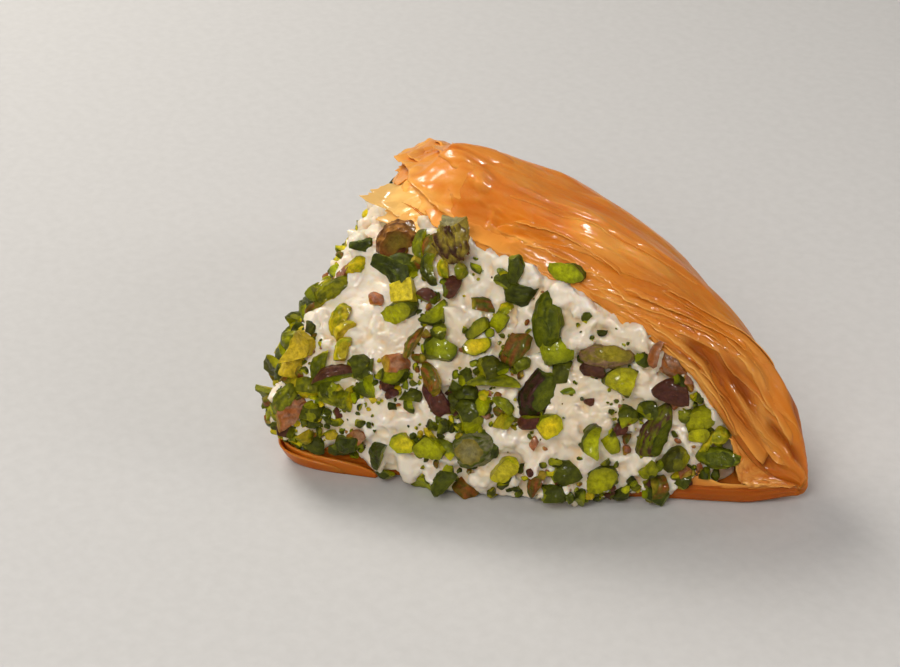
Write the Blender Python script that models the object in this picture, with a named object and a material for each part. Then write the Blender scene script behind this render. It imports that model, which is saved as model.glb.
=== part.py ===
"""A warbat: a square of layered phyllo folded along its diagonal over clotted cream, with nuts on the cream.

The fold lies along X at the back (+Y), the free right-angled corner points to -Y, and both open edges show the
cream. Sizes below are in millimetres and become metres where the meshes are made. A section is the pastry cut
across the fold; its points are (distance in front of the fold, height).
"""

import math

import bmesh
import bpy
from mathutils import Matrix, Vector, noise

MM = 0.001

# Folded square
RIGHT_HALF = 67.0  # fold's middle to its right end
LEFT_HALF = 62.0  # fold's middle to its left end
LEAF_DEPTH = 68.0  # free corner of the lower leaf, in front of the fold's blunt ends
END_DEPTH = 5.0  # leaf in front of the fold at its blunt ends
LEAF_THICKNESS = 4.0  # the stack of sheets of one leaf
FOLD_THICKNESS = 5.0
EDGE_SPREAD = 6.0  # extra thickness at the raised corner, where the sheets fan out
CORNER_HEIGHT = 46.0  # underside of the raised corner
CROWN_HEIGHT = 39.5  # the dome over the fold, halfway up its curve
TWIST = -6.0  # the raised corner leans towards the left end
CORNER_CURL = 2.0  # the lower leaf's free corner curls up
CORNER_SETBACK = 5.0  # how far the raised corner's edge stands back from the square's outline

# Filling
CREAM_OVERHANG = 9.0  # how far the cream swells out beyond the lower leaf
CREAM_ENDS = (-51.0, 57.0)

SHELL_GAP = 0.35  # clearance between the pastry, the cream and the nuts
STATIONS = 46  # sections along the fold
END_ROUNDING = 0.09  # share of each half that rounds off at the fold's ends

# The row frame's origin: the middle of the box, on the surface that the pastry rests on
ORIGIN_X = 2.5
ORIGIN_Y = -34.6

# Kernels of pistachio: name, place along the fold, share of the cream's height, turn in the cream's face,
# length, width, thickness, how deep the kernel sits, and its colour
NUTS = (
    ("pistachio_half_brown", 6.0, 0.91, 38, 11.0, 7.6, 5.4, 0.25, (0.22, 0.11, 0.04)),
    ("pistachio_half_standing", 18.5, 0.94, 124, 10.2, 6.8, 4.2, -0.15, (0.27, 0.22, 0.06)),
    ("pistachio_half_high", 34.6, 0.85, 110, 11.0, 5.6, 4.2, 0.20, (0.16, 0.24, 0.04)),
    ("pistachio_half_middle", 37.0, 0.56, 78, 11.8, 6.2, 4.6, 0.30, (0.13, 0.12, 0.05)),
    ("pistachio_half_olive", 43.0, 0.82, 28, 10.4, 4.8, 3.8, 0.30, (0.24, 0.24, 0.07)),
    ("pistachio_half_long", 50.6, 0.49, 82, 12.5, 5.0, 4.2, 0.25, (0.20, 0.28, 0.05)),
    ("pistachio_half_end", 57.2, 0.55, 36, 8.6, 4.2, 3.6, 0.20, (0.13, 0.24, 0.04)),
    ("pistachio_round_low", 31.2, 0.25, 30, 8.6, 7.6, 5.0, 0.35, (0.33, 0.33, 0.24)),
)


def smoothstep(low, high, value):
    t = min(1.0, max(0.0, (value - low) / (high - low)))
    return t * t * (3 - 2 * t)


def mix(a, b, t):
    return tuple(p + (q - p) * t for p, q in zip(a, b))


def bezier(points, t):
    u = 1 - t
    weights = (u**3, 3 * u * u * t, 3 * u * t * t, t**3)
    return tuple(sum(w * p[i] for w, p in zip(weights, points)) for i in range(2))


def along(points, count):
    """A cubic curve as count steps."""
    return [bezier(points, i / count) for i in range(count + 1)]


def half_length(x):
    return RIGHT_HALF if x > 0 else LEFT_HALF


def openness(x, soft=1.5):
    """1 over the free corner and 0 at the fold's ends, with the corner itself a little rounded."""
    reach = math.hypot(x, soft) - soft
    return max(0.0, 1 - reach / (math.hypot(half_length(x), soft) - soft))


class Section:
    """The pastry cut across the fold at x."""

    def __init__(self, x):
        k = openness(x)
        share = min(1.0, abs(x) / (half_length(x) + 1.0))
        side = 1.0 if x > 0 else 1 - 0.07 * smoothstep(0, 0.35, share)
        self.x = x
        self.k = k
        self.room = smoothstep(0.0, 0.3, k)
        self.front = END_DEPTH + LEAF_DEPTH * k + 3.0 * math.sin(math.pi * (1 - k))
        self.bulge = 0.8 + 5.5 * (1 - (1 - k) ** 3)

        rise = (1 - (1 - k) ** 3) * smoothstep(-0.05, 0.24, k)
        hollow = 0.0 if x > 0 else 6.0 * math.sin(math.pi * share)
        self.hollow = hollow
        # Round the raised corner the edge stands back, and the leaf's outside too on the hidden side
        back = smoothstep(16, 2, x) * smoothstep(-54, -30, x)
        hidden = smoothstep(2, -8, x)
        self.back = CORNER_SETBACK * back
        self.inner_reach = self.front - 2.5 - 21.0 * k**1.6 + 0.5 * k - hollow - self.back
        self.inner_top = (3.0 + (CORNER_HEIGHT - 3.0) * rise) * side
        self.outer_reach = self.inner_reach - 3.0 * smoothstep(0, 0.12, k) - 15.0 * k**3
        self.outer_reach += self.back * (1 - hidden)
        self.top = self.inner_top + 3.6 * smoothstep(-0.3, 0.2, k) + EDGE_SPREAD * k**3 - 1.2 * back * hidden

        lift = 1 + (0.06 * math.sin(math.pi * share) if x > 0 else -0.12 * share)
        middle = CROWN_HEIGHT * lift * math.sqrt(1 - share**2.5)
        slope = 0.8 - 0.15 * k
        crown = (8 * middle - self.top) / (3 + 3.36 * slope)
        self.shoulder = crown * slope
        self.back_height = 0.36 * self.shoulder
        crown_reach = 0.36 + 0.4 * (1 - k) ** 2
        self.outer = [
            (-self.bulge, self.back_height),
            (-self.bulge - 0.8, self.shoulder),
            (crown_reach * self.outer_reach, crown),
            (self.outer_reach, self.top),
        ]
        mouth = (self.inner_reach - 0.4, (self.inner_top + LEAF_THICKNESS) / 2)
        inside = [
            (FOLD_THICKNESS - self.bulge, self.back_height),
            (FOLD_THICKNESS - self.bulge - 0.4, self.shoulder - FOLD_THICKNESS),
            (crown_reach * self.inner_reach + 1.0, crown - LEAF_THICKNESS - 2.0),
        ]
        self.roof = [mix(mouth, p, self.room) for p in inside] + [(self.inner_reach, self.inner_top)]
        self.foot = mix(mouth, (FOLD_THICKNESS + 3.0 - self.bulge, LEAF_THICKNESS), self.room)

    def shell(self):
        """The pastry's outline: under the lower leaf, round the fold, over the top, and back inside."""
        heel = min(0.9 * self.back_height, 0.5 * self.front + 1.0)
        toe = (self.front - 1.0, 0.0)
        loop = [mix(toe, (heel - self.bulge, 0.0), i / 6) for i in range(6)]
        for i in range(5):
            angle = math.pi / 2 * i / 5
            loop.append(
                (heel * (1 - math.sin(angle)) - self.bulge, self.back_height * (1 - math.cos(angle)))
            )
        loop += along(self.outer, 15)
        loop += self.stepped_edge()
        loop += along(self.roof[::-1], 10)
        loop += [mix(self.roof[0], self.foot, 0.5)]
        loop += [mix(self.foot, (self.front - 1.2, LEAF_THICKNESS), i / 5) for i in range(6)]
        loop += [(self.front - 0.1, LEAF_THICKNESS * 0.62), (self.front, LEAF_THICKNESS * 0.3)]
        return loop

    def stepped_edge(self):
        """The cut edges of the upper leaf's sheets, in bands that each stand back from the one below."""
        outer = (self.outer_reach, self.top)
        inner = (self.inner_reach, self.inner_top)
        steps = []
        for band in (1, 2):
            tread = mix(outer, inner, band / 3)
            steps.append((tread[0] - (inner[0] - outer[0]) / 4, tread[1] + 0.1))
            steps.append(tread)
        return steps

    def overhang(self):
        """How far the cream stands in front of the lower leaf."""
        toward_end = smoothstep(44, 56, self.x) + smoothstep(-38, -50, self.x)
        swell = 5.0 + (CREAM_OVERHANG - 5.0) * smoothstep(8, 28, self.x)
        return swell * (1 - toward_end) - 3.0 * toward_end

    def face(self):
        """The cream's open face as a curve from its foot up to the upper leaf."""
        over = self.overhang()
        slump = smoothstep(18, 27, self.x) * (1 - smoothstep(44, 50, self.x))
        height = self.inner_top
        bare = smoothstep(-34, -14, self.x) * smoothstep(16, 8, self.x)
        return [
            (self.front + 0.5 * over - 4.5 * bare, 2.6 * (1 - slump) + 0.4 + 1.2 * bare),
            (self.front + 1.1 * over + 4.0 * self.k + 5.0 * bare, 0.36 * height),
            (0.5 * (self.inner_reach + self.front - self.hollow) + 0.18 * over - 0.3 * self.back, 0.69 * height),
            (self.inner_reach + 0.6, height - 0.2),
        ]

    def filling(self):
        """The cream's outline, run on to the middle of the pastry's thickness, which is then cut from it."""
        floor = LEAF_THICKNESS / 2
        back = (self.foot[0] - FOLD_THICKNESS / 2 * self.room, floor)
        loop = [mix(back, (self.front - 2.0, floor), i / 4) for i in range(5)]
        loop += along(self.face(), 14)
        for i in range(9):
            t = 1 - (i + 0.6) / 9
            loop.append(mix(bezier(self.outer, t), bezier(self.roof, t), 0.5))
        return loop


def stations(left, right, count):
    """Places from left to right of the fold's middle, closer together towards the ends."""
    places = []
    for i in range(count):
        t = -1 + 2 * i / (count - 1)
        places.append((0.75 * t + 0.25 * math.sin(math.pi / 2 * t)) * (right if t > 0 else -left))
    return places


def end_scale(x):
    """How much a section shrinks where an end of the fold rounds off."""
    into = max(0.0, (abs(x) / half_length(x) - 1 + END_ROUNDING) / END_ROUNDING)
    return math.sqrt(1 - 0.75 * min(1.0, into * into))


def lean(section, d, z):
    """Sideways shift of the upper leaf, largest at its raised corner."""
    up = smoothstep(0.3, 1.0, z / max(section.top, 1.0))
    return TWIST * section.k * up * smoothstep(-5, 45, d)


def ruffle(x, d, z):
    """Long soft wrinkles that run along the leaf's edge, and the swells between them."""
    across = noise.noise(Vector((0.035 * x, 0.16 * (d + z), 0.16 * (z - d))))
    swell = noise.noise(Vector((0.06 * x + 9.0, 0.06 * d, 0.06 * z)))
    return 0.9 * across + 1.0 * swell


def place(x, d, z):
    """A point beside the fold as a point of the row frame, in metres."""
    return Vector((x - ORIGIN_X, -d - ORIGIN_Y, z)) * MM


def pastry_ring(x):
    section = Section(x)
    scale = end_scale(x)
    middle = ((section.front - section.bulge) / 2, 0.42 * section.shoulder)
    ring = []
    for d, z in section.shell():
        push = ruffle(x, d, z) * smoothstep(6.0, 16.0, z)
        sideways = lean(section, d, z)
        d, z = mix(middle, (d, z), scale)
        if z <= LEAF_THICKNESS:
            z += CORNER_CURL * smoothstep(0.8, 1.0, section.k) * smoothstep(-16, 0, d - section.front)
        ring.append(place(x + sideways, d - 0.3 * push, z + push))
    return ring


def lump(x, d, z):
    """The clotted cream's uneven surface."""
    soft = noise.noise(Vector((0.11 * x, 0.11 * d, 0.11 * z + 5.0)))
    curd = noise.noise(Vector((0.3 * x, 0.3 * d + 7.0, 0.3 * z)))
    return 1.5 * soft + 0.7 * curd


def cream_ring(x):
    section = Section(x)
    ring = []
    for d, z in section.filling():
        sideways = lean(section, d, z)
        push = lump(x, d, z) * smoothstep(-1.0, 8.0, d - section.inner_reach) * smoothstep(1.0, 6.0, z)
        ring.append(place(x + sideways, d + push, z + 0.4 * push))
    return ring


def loft(name, rings):
    """A closed mesh object through rings of equally many points, capped at both ends."""
    mesh = bmesh.new()
    made = [[mesh.verts.new(point) for point in ring] for ring in rings]
    count = len(rings[0])
    for ring, following in zip(made, made[1:]):
        for i in range(count):
            j = (i + 1) % count
            mesh.faces.new((ring[i], ring[j], following[j], following[i]))
    mesh.faces.new(made[0][::-1])
    mesh.faces.new(made[-1])
    bmesh.ops.recalc_face_normals(mesh, faces=mesh.faces)
    bmesh.ops.triangulate(mesh, faces=mesh.faces)
    data = bpy.data.meshes.new(name)
    mesh.to_mesh(data)
    mesh.free()
    return bpy.data.objects.new(name, data)


def kernel(name, length, width, thickness):
    """Half a pistachio: a long oval dome over a nearly flat split face, with one end a little pointed."""
    mesh = bmesh.new()
    bmesh.ops.create_uvsphere(mesh, u_segments=12, v_segments=8, radius=0.5)
    for vert in mesh.verts:
        x, y, z = vert.co
        taper = 1 - 0.25 * x
        flat = 0.35 if z < 0 else 1.0
        vert.co = Vector((x * length, y * width * taper, (z * flat + 0.08 * (1 - 4 * x * x)) * thickness)) * MM
    data = bpy.data.meshes.new(name)
    mesh.to_mesh(data)
    mesh.free()
    data.shade_smooth()
    return bpy.data.objects.new(name, data)


def face_frame(x, share):
    """A point of the cream's face, with the directions along the fold, up the face and out of it."""

    def point(x, share):
        section = Section(x)
        d, z = bezier(section.face(), share)
        return place(x + lean(section, d, z), d, z)

    here = point(x, share)
    side = (point(x + 1.0, share) - point(x - 1.0, share)).normalized()
    up = (point(x, share + 0.04) - point(x, share - 0.04)).normalized()
    out = side.cross(up).normalized()
    up = out.cross(side)
    return here, side, up, out


def seat(nut, x, share, turn, thickness, depth):
    """Presses a kernel's flat side into the cream's face."""
    here, side, up, out = face_frame(x, share)
    angle = math.radians(turn)
    length_way = side * math.cos(angle) + up * math.sin(angle)
    width_way = out.cross(length_way)
    turned = Matrix((length_way, width_way, out)).transposed().to_4x4()
    nut.matrix_world = Matrix.Translation(here + out * thickness * (0.35 - depth) * MM) @ turned


def material(name, colour, roughness):
    made = bpy.data.materials.new(name)
    made.use_nodes = True
    shader = made.node_tree.nodes["Principled BSDF"]
    shader.inputs["Base Color"].default_value = (*colour, 1)
    shader.inputs["Roughness"].default_value = roughness
    return made


def cut_round(body, others, cutters):
    """Cuts each neighbour, grown by the clearance, out of body."""
    for other in others:
        grown = other.copy()
        grown.name = other.name + "_clearance"
        grown.hide_render = True
        grown.display_type = "WIRE"
        cutters.objects.link(grown)
        swell = grown.modifiers.new("clearance", "DISPLACE")
        swell.strength = SHELL_GAP * MM
        swell.mid_level = 0
        cut = body.modifiers.new(other.name, "BOOLEAN")
        cut.operation = "DIFFERENCE"
        cut.solver = "EXACT"
        cut.object = grown


def main():
    for obj in list(bpy.data.objects):
        bpy.data.objects.remove(obj)
    parts = bpy.data.collections.new("warbat")
    cutters = bpy.data.collections.new("clearances")
    bpy.context.scene.collection.children.link(parts)
    bpy.context.scene.collection.children.link(cutters)

    pastry = loft("phyllo_pastry", [pastry_ring(x) for x in stations(-LEFT_HALF, RIGHT_HALF, STATIONS)])
    pastry.data.materials.append(material("phyllo_pastry", (0.60, 0.27, 0.07), 0.35))
    pastry.data.shade_smooth()
    parts.objects.link(pastry)

    cream = loft("cream_filling", [cream_ring(x) for x in stations(*CREAM_ENDS, STATIONS - 10)])
    cream.data.materials.append(material("cream_filling", (0.86, 0.80, 0.68), 0.5))
    parts.objects.link(cream)

    nuts = []
    for name, x, share, turn, length, width, thickness, depth, colour in NUTS:
        nut = kernel(name, length, width, thickness)
        nut.data.materials.append(material(name, colour, 0.45))
        seat(nut, x, share, turn, thickness, depth)
        parts.objects.link(nut)
        nuts.append(nut)

    cut_round(cream, [pastry] + nuts, cutters)


main()
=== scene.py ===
"""Looks of the warbat: wrinkled, glazed phyllo, clotted cream and chopped pistachio, around the CAD frame.

Lengths are in millimetres until a mesh is made. A place on the pastry is told by x, along the fold, by d,
the distance in front of the fold, and by z, the height. On the skin, e is the distance before the upper
leaf's lip.
"""

import math

import bmesh
import bpy
import numpy as np
from mathutils import Matrix, Vector
from mathutils.bvhtree import BVHTree


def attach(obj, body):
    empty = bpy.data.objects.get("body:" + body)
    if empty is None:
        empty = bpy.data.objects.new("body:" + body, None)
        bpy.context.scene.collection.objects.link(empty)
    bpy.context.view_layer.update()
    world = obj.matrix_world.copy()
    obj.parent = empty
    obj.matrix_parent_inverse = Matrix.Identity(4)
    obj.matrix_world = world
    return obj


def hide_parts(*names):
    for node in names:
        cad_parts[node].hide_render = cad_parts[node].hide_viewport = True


MM = 0.001

# Sizes of the folded square, as in the CAD model
RIGHT_HALF = 67.0
LEFT_HALF = 62.0
LEAF_DEPTH = 68.0
END_DEPTH = 5.0
LEAF_THICKNESS = 4.0
FOLD_THICKNESS = 5.0
EDGE_SPREAD = 6.0
CORNER_HEIGHT = 46.0
CROWN_HEIGHT = 39.5
TWIST = -6.0
CORNER_CURL = 2.0
CORNER_SETBACK = 5.0
CREAM_OVERHANG = 9.0
ORIGIN_X = 2.5
ORIGIN_Y = -34.6

# ---------------------------------------------------------------- helpers for shapes

PERMUTED = np.tile(np.random.default_rng(5).permutation(256), 2)
SLOPES = np.random.default_rng(6).normal(size=(256, 3))
SLOPES /= np.linalg.norm(SLOPES, axis=1)[:, None]


def noise(x, y=0.0, z=0.0):
    """Smooth gradient noise between about -1 and 1, with features about 1 unit apart."""
    x, y, z = np.broadcast_arrays(x, y, z)
    point = np.stack([x, y, z], axis=-1).astype(float)
    cell = np.floor(point).astype(int)
    part = point - cell
    ease = part**3 * (part * (part * 6 - 15) + 10)
    cell &= 255
    total = np.zeros(x.shape)
    for i in (0, 1):
        for j in (0, 1):
            for k in (0, 1):
                row = PERMUTED[(cell[..., 0] + i) & 255]
                row = PERMUTED[row + ((cell[..., 1] + j) & 255)]
                row = PERMUTED[row + ((cell[..., 2] + k) & 255)]
                away = part - (i, j, k)
                weight = np.ones(x.shape)
                for axis, near in enumerate((i, j, k)):
                    weight = weight * (ease[..., axis] if near else 1 - ease[..., axis])
                total += weight * (SLOPES[row] * away).sum(axis=-1)
    return total * 1.6


def smooth(low, high, value):
    t = np.clip((value - low) / (high - low), 0, 1)
    return t * t * (3 - 2 * t)


def mix(a, b, t):
    return a + (b - a) * t


def unit(vector):
    return vector / np.maximum(np.linalg.norm(vector, axis=-1, keepdims=True), 1e-9)


def bezier(points, t):
    u = 1 - t
    weights = (u**3, 3 * u * u * t, 3 * u * t * t, t**3)
    d = sum(w * p[0] for w, p in zip(weights, points))
    z = sum(w * p[1] for w, p in zip(weights, points))
    return d, z


def bent(t, start, bend, end):
    """The point at t on the way from start to end that leans towards bend."""
    return [(1 - t) ** 2 * p + 2 * t * (1 - t) * q + t * t * r for p, q, r in zip(start, bend, end)]


def grid(low, high, count, across, start=0.0):
    """Two grids of numbers: from low to high along the first axis, and from start to 1 along the second."""
    return np.meshgrid(np.linspace(low, high, count), np.linspace(start, 1, across), indexing="ij")


def relax(values):
    """Evens out values along their first axis, in place, with the ends kept."""
    values[1:-1] = 0.25 * values[:-2] + 0.5 * values[1:-1] + 0.25 * values[2:]


class Fold:
    """The pastry's cuts across the fold at the places x, as the CAD model has them."""

    def __init__(self, x, soft=1.5):
        x = np.asarray(x, float)
        right = x > 0
        half = np.where(right, RIGHT_HALF, LEFT_HALF)
        k = np.clip(1 - (np.hypot(x, soft) - soft) / (np.hypot(half, soft) - soft), 0, 1)
        share = np.minimum(1.0, np.abs(x) / (half + 1.0))
        side = np.where(right, 1.0, 1 - 0.07 * smooth(0, 0.35, share))
        self.x = x
        self.k = k
        self.half = half
        room = smooth(0.0, 0.3, k)
        self.front = END_DEPTH + LEAF_DEPTH * k + 3.0 * np.sin(math.pi * (1 - k))
        self.bulge = 0.8 + 5.5 * (1 - (1 - k) ** 3)
        rise = (1 - (1 - k) ** 3) * smooth(-0.05, 0.24, k)
        hollow = np.where(right, 0.0, 6.0 * np.sin(math.pi * share))
        back = CORNER_SETBACK * smooth(16, 2, x) * smooth(-54, -30, x)
        hidden = smooth(2, -8, x)
        self.inner_reach = self.front - 2.5 - 21.0 * k**1.6 + 0.5 * k - hollow - back
        self.inner_top = (3.0 + (CORNER_HEIGHT - 3.0) * rise) * side
        self.outer_reach = self.inner_reach - 3.0 * smooth(0, 0.12, k) - 15.0 * k**3
        self.outer_reach += back * (1 - hidden)
        self.top = self.inner_top + 3.6 * smooth(-0.3, 0.2, k) + EDGE_SPREAD * k**3
        self.top -= 0.24 * back * hidden
        lift = 1 + np.where(right, 0.06 * np.sin(math.pi * share), -0.12 * share)
        middle = CROWN_HEIGHT * lift * np.sqrt(np.maximum(0, 1 - share**2.5))
        slope = 0.8 - 0.15 * k
        crown = (8 * middle - self.top) / (3 + 3.36 * slope)
        self.shoulder = crown * slope
        self.back_height = 0.36 * self.shoulder
        crown_reach = 0.36 + 0.4 * (1 - k) ** 2
        self.outer = [
            (-self.bulge, self.back_height),
            (-self.bulge - 0.8, self.shoulder),
            (crown_reach * self.outer_reach, crown),
            (self.outer_reach, self.top),
        ]
        mouth = (self.inner_reach - 0.4, (self.inner_top + LEAF_THICKNESS) / 2)
        inside = [
            (FOLD_THICKNESS - self.bulge, self.back_height),
            (FOLD_THICKNESS - self.bulge - 0.4, self.shoulder - FOLD_THICKNESS),
            (crown_reach * self.inner_reach + 1.0, crown - LEAF_THICKNESS - 2.0),
        ]
        self.roof = [
            (mix(mouth[0], p[0], room), mix(mouth[1], p[1], room)) for p in inside
        ] + [(self.inner_reach, self.inner_top)]
        foot = (FOLD_THICKNESS + 3.0 - self.bulge, LEAF_THICKNESS)
        self.foot = (mix(mouth[0], foot[0], room), mix(mouth[1], foot[1], room))
        over = self.overhang()
        slump = smooth(18, 27, x) * (1 - smooth(44, 50, x))
        height = self.inner_top
        belly = 0.5 * (self.inner_reach + self.front - hollow) + 0.18 * over - 0.3 * back
        # Beside the front corner the cream stands back and lets the lower leaf's rim show
        bare = smooth(-34, -14, x) * smooth(16, 8, x)
        self.face = [
            (self.front + 0.5 * over - 4.5 * bare, 2.6 * (1 - slump) + 0.4 + 1.2 * bare),
            (self.front + 1.1 * over + 4.0 * k + 5.0 * bare, 0.36 * height),
            (belly, 0.69 * height),
            (self.inner_reach + 0.6, height - 0.2),
        ]

    def overhang(self):
        toward_end = smooth(44, 56, self.x) + smooth(-38, -50, self.x)
        swell = 5.0 + (CREAM_OVERHANG - 5.0) * smooth(8, 28, self.x)
        return swell * (1 - toward_end) - 3.0 * toward_end

    def lean(self, d, z):
        up = smooth(0.3, 1.0, z / np.maximum(self.top, 1.0))
        return TWIST * self.k * up * smooth(-5, 45, d)

    def place(self, d, z, scaled=True):
        """Points of the section in the row frame, in millimetres, with the ends of the fold rounded off."""
        sideways = self.lean(d, z)
        if scaled:
            into = np.maximum(0.0, (np.abs(self.x) / self.half - 0.91) / 0.09)
            scale = np.sqrt(1 - 0.75 * np.minimum(1.0, into * into))
            d = mix((self.front - self.bulge) / 2, d, scale)
            z = mix(0.42 * self.shoulder, z, scale)
        return np.stack(np.broadcast_arrays(self.x + sideways - ORIGIN_X, -d - ORIGIN_Y, z), axis=-1)


def grid_normals(points):
    """Unit normals of a grid of points, along cross across."""
    return unit(np.cross(np.gradient(points, axis=0), np.gradient(points, axis=1)))


def ring_normals(points):
    """Unit normals of rings of points that are closed around."""
    return grid_normals(np.concatenate([points[:, -1:], points, points[:, :1]], axis=1))[:, 1:-1]


def make_mesh(name, points, faces, attributes=()):
    """A smooth mesh of points in millimetres and equal faces, with named colours of points or corners."""
    faces = np.asarray(faces, np.int32)
    size = faces.shape[1]
    mesh = bpy.data.meshes.new(name)
    mesh.vertices.add(len(points))
    mesh.vertices.foreach_set("co", (np.asarray(points) * MM).astype(np.float32).ravel())
    mesh.loops.add(len(faces) * size)
    mesh.loops.foreach_set("vertex_index", faces.ravel())
    mesh.polygons.add(len(faces))
    mesh.polygons.foreach_set("loop_start", np.arange(0, len(faces) * size, size, dtype=np.int32))
    mesh.update(calc_edges=True)
    mesh.validate()
    mesh.shade_smooth()
    for title, values in attributes:
        values = np.asarray(values, np.float32)
        if values.shape[1] == 3:
            values = np.concatenate([values, np.ones((len(values), 1), np.float32)], axis=1)
        domain = "POINT" if len(values) == len(points) else "CORNER"
        mesh.attributes.new(title, "FLOAT_COLOR", domain).data.foreach_set("color", values.ravel())
    return mesh


def add_object(name, data):
    thing = bpy.data.objects.new(name, data)
    bpy.context.scene.collection.objects.link(thing)
    return thing


def make_object(name, points, faces, attributes=()):
    return add_object(name, make_mesh(name, points, faces, attributes))


def read_vectors(collection, title):
    """The vectors that a mesh holds under this title, one to a row."""
    values = np.empty(len(collection) * 3, np.float32)
    collection.foreach_get(title, values)
    return values.reshape(-1, 3).astype(float)


def tube_faces(rings, count, first=0):
    """Faces between rings of count points each, closed around, with both ends capped."""
    i = np.arange(rings - 1)[:, None] * count
    j = np.arange(count)[None, :]
    following = (j + 1) % count
    quads = [np.stack([i + j, i + following, i + count + following, i + count + j], axis=-1).reshape(-1, 4)]
    j = np.arange(count // 2 - 1)
    cap = np.stack([j + 1, j, count - 1 - j, count - 2 - j], axis=-1)
    quads.append(cap)
    quads.append(cap[:, ::-1] + (rings - 1) * count)
    return np.concatenate(quads) + first


class Sheets:
    """Many thin closed sheets joined into one mesh, with their tones."""

    def __init__(self):
        self.points = []
        self.quads = []
        self.tones = []
        self.count = 0

    def add(self, middle, thickness, tone):
        """One sheet through a grid of points, with a thickness and a tone for each point."""
        half = np.broadcast_to(np.asarray(thickness, float), middle.shape[:2])[..., None] / 2
        normal = grid_normals(middle)
        loop = np.concatenate([middle + normal * half, (middle - normal * half)[:, ::-1]], axis=1)
        rings, count = loop.shape[:2]
        self.points.append(loop.reshape(-1, 3))
        self.quads.append(tube_faces(rings, count, self.count))
        tone = np.broadcast_to(tone, middle.shape[:2] + (4,))
        self.tones.append(np.concatenate([tone, tone[:, ::-1]], axis=1).reshape(-1, 4))
        self.count += rings * count

    def build(self, name):
        points, quads, tones = (np.concatenate(v) for v in (self.points, self.quads, self.tones))
        return make_object(name, points, quads, [("tone", tones)])


def tone_of(pale, deep, yellow=0.0):
    """How pale, how deep and how yellow the phyllo is painted, as one attribute. Besides its own tone, pale
    and yellow carry painted highlight and glow, and deep carries painted shade.
    """
    pale, deep, yellow = np.broadcast_arrays(pale, deep, yellow)
    return np.clip(np.stack([pale, deep, yellow, np.ones(pale.shape)], axis=-1), 0, 1)


# ---------------------------------------------------------------- phyllo


class Skin:
    """The outside of the fold and the upper leaf, from the back (u = 0) over the crown to the lip (u = 1)."""

    SAMPLES = 400
    ROUNDINGS = 60

    def __init__(self):
        self.x = np.linspace(-LEFT_HALF, RIGHT_HALF, 517)
        fold = Fold(self.x)
        path = [bezier(fold.outer, t) for t in np.linspace(0, 1, 160)]
        start = bezier(fold.outer, 1.0)
        lip = (fold.inner_reach, fold.inner_top + 0.3)
        for s in np.linspace(0, 1, 40)[1:]:
            path.append((mix(start[0], lip[0], s), mix(start[1], lip[1], s)))
        d = np.stack([p[0] for p in path], axis=1)
        z = np.stack([p[1] for p in path], axis=1)
        steps = np.hypot(np.diff(d, axis=1), np.diff(z, axis=1))
        along = np.concatenate([np.zeros((len(d), 1)), np.cumsum(steps, axis=1)], axis=1)
        self.length = along[:, -1]
        u = np.linspace(0, 1, self.SAMPLES)
        self.d = np.stack([np.interp(u * a[-1], a, row) for a, row in zip(along, d)])
        self.z = np.stack([np.interp(u * a[-1], a, row) for a, row in zip(along, z)])
        # The corner between the outside and the cut edge is rounded off
        for _ in range(self.ROUNDINGS):
            relax(self.d.T)
            relax(self.z.T)

    def look(self, table, x, u):
        x, u = np.broadcast_arrays(x, u)
        i = np.clip((x - self.x[0]) / (self.x[1] - self.x[0]), 0, len(self.x) - 1.001)
        j = np.clip(u * (self.SAMPLES - 1), 0, self.SAMPLES - 1.001)
        a, b = i.astype(int), j.astype(int)
        s, t = i - a, j - b
        low = mix(table[a, b], table[a, b + 1], t)
        return mix(low, mix(table[a + 1, b], table[a + 1, b + 1], t), s)

    def section(self, x, u):
        return self.look(self.d, x, u), self.look(self.z, x, u)

    def points(self, x, e):
        """Points e before the lip, and beyond it where e is below zero, with their outward normals."""
        x, e = np.broadcast_arrays(x, e)
        length = np.interp(x, self.x, self.length)
        u = 1 - e / length
        fold = Fold(x)
        d, z = self.section(x, np.minimum(u, 1.0))
        near_d, near_z = self.section(x, 1 - 2.5 / length)
        lip_d, lip_z = self.section(x, np.ones(x.shape))
        beyond = np.maximum(-e, 0) / 2.5
        d = d + (lip_d - near_d) * beyond
        z = z + (lip_z - near_z) * beyond
        place = fold.place(d, z)
        step_d, step_z = self.section(x, np.minimum(u, 1.0) - 1.0 / length)
        other = fold.place(step_d + (lip_d - near_d) * beyond, step_z + (lip_z - near_z) * beyond)
        across = place - other
        sideways = Fold(x + 0.4)
        side_d, side_z = self.section(x + 0.4, np.minimum(u, 1.0))
        along = sideways.place(side_d + (lip_d - near_d) * beyond, side_z + (lip_z - near_z) * beyond) - place
        normal = unit(np.cross(across, along))
        return place, normal * np.where(normal[..., 2:3] * 0.6 + 0.4 * normal[..., 1:2] < -0.35, -1, 1)
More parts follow.
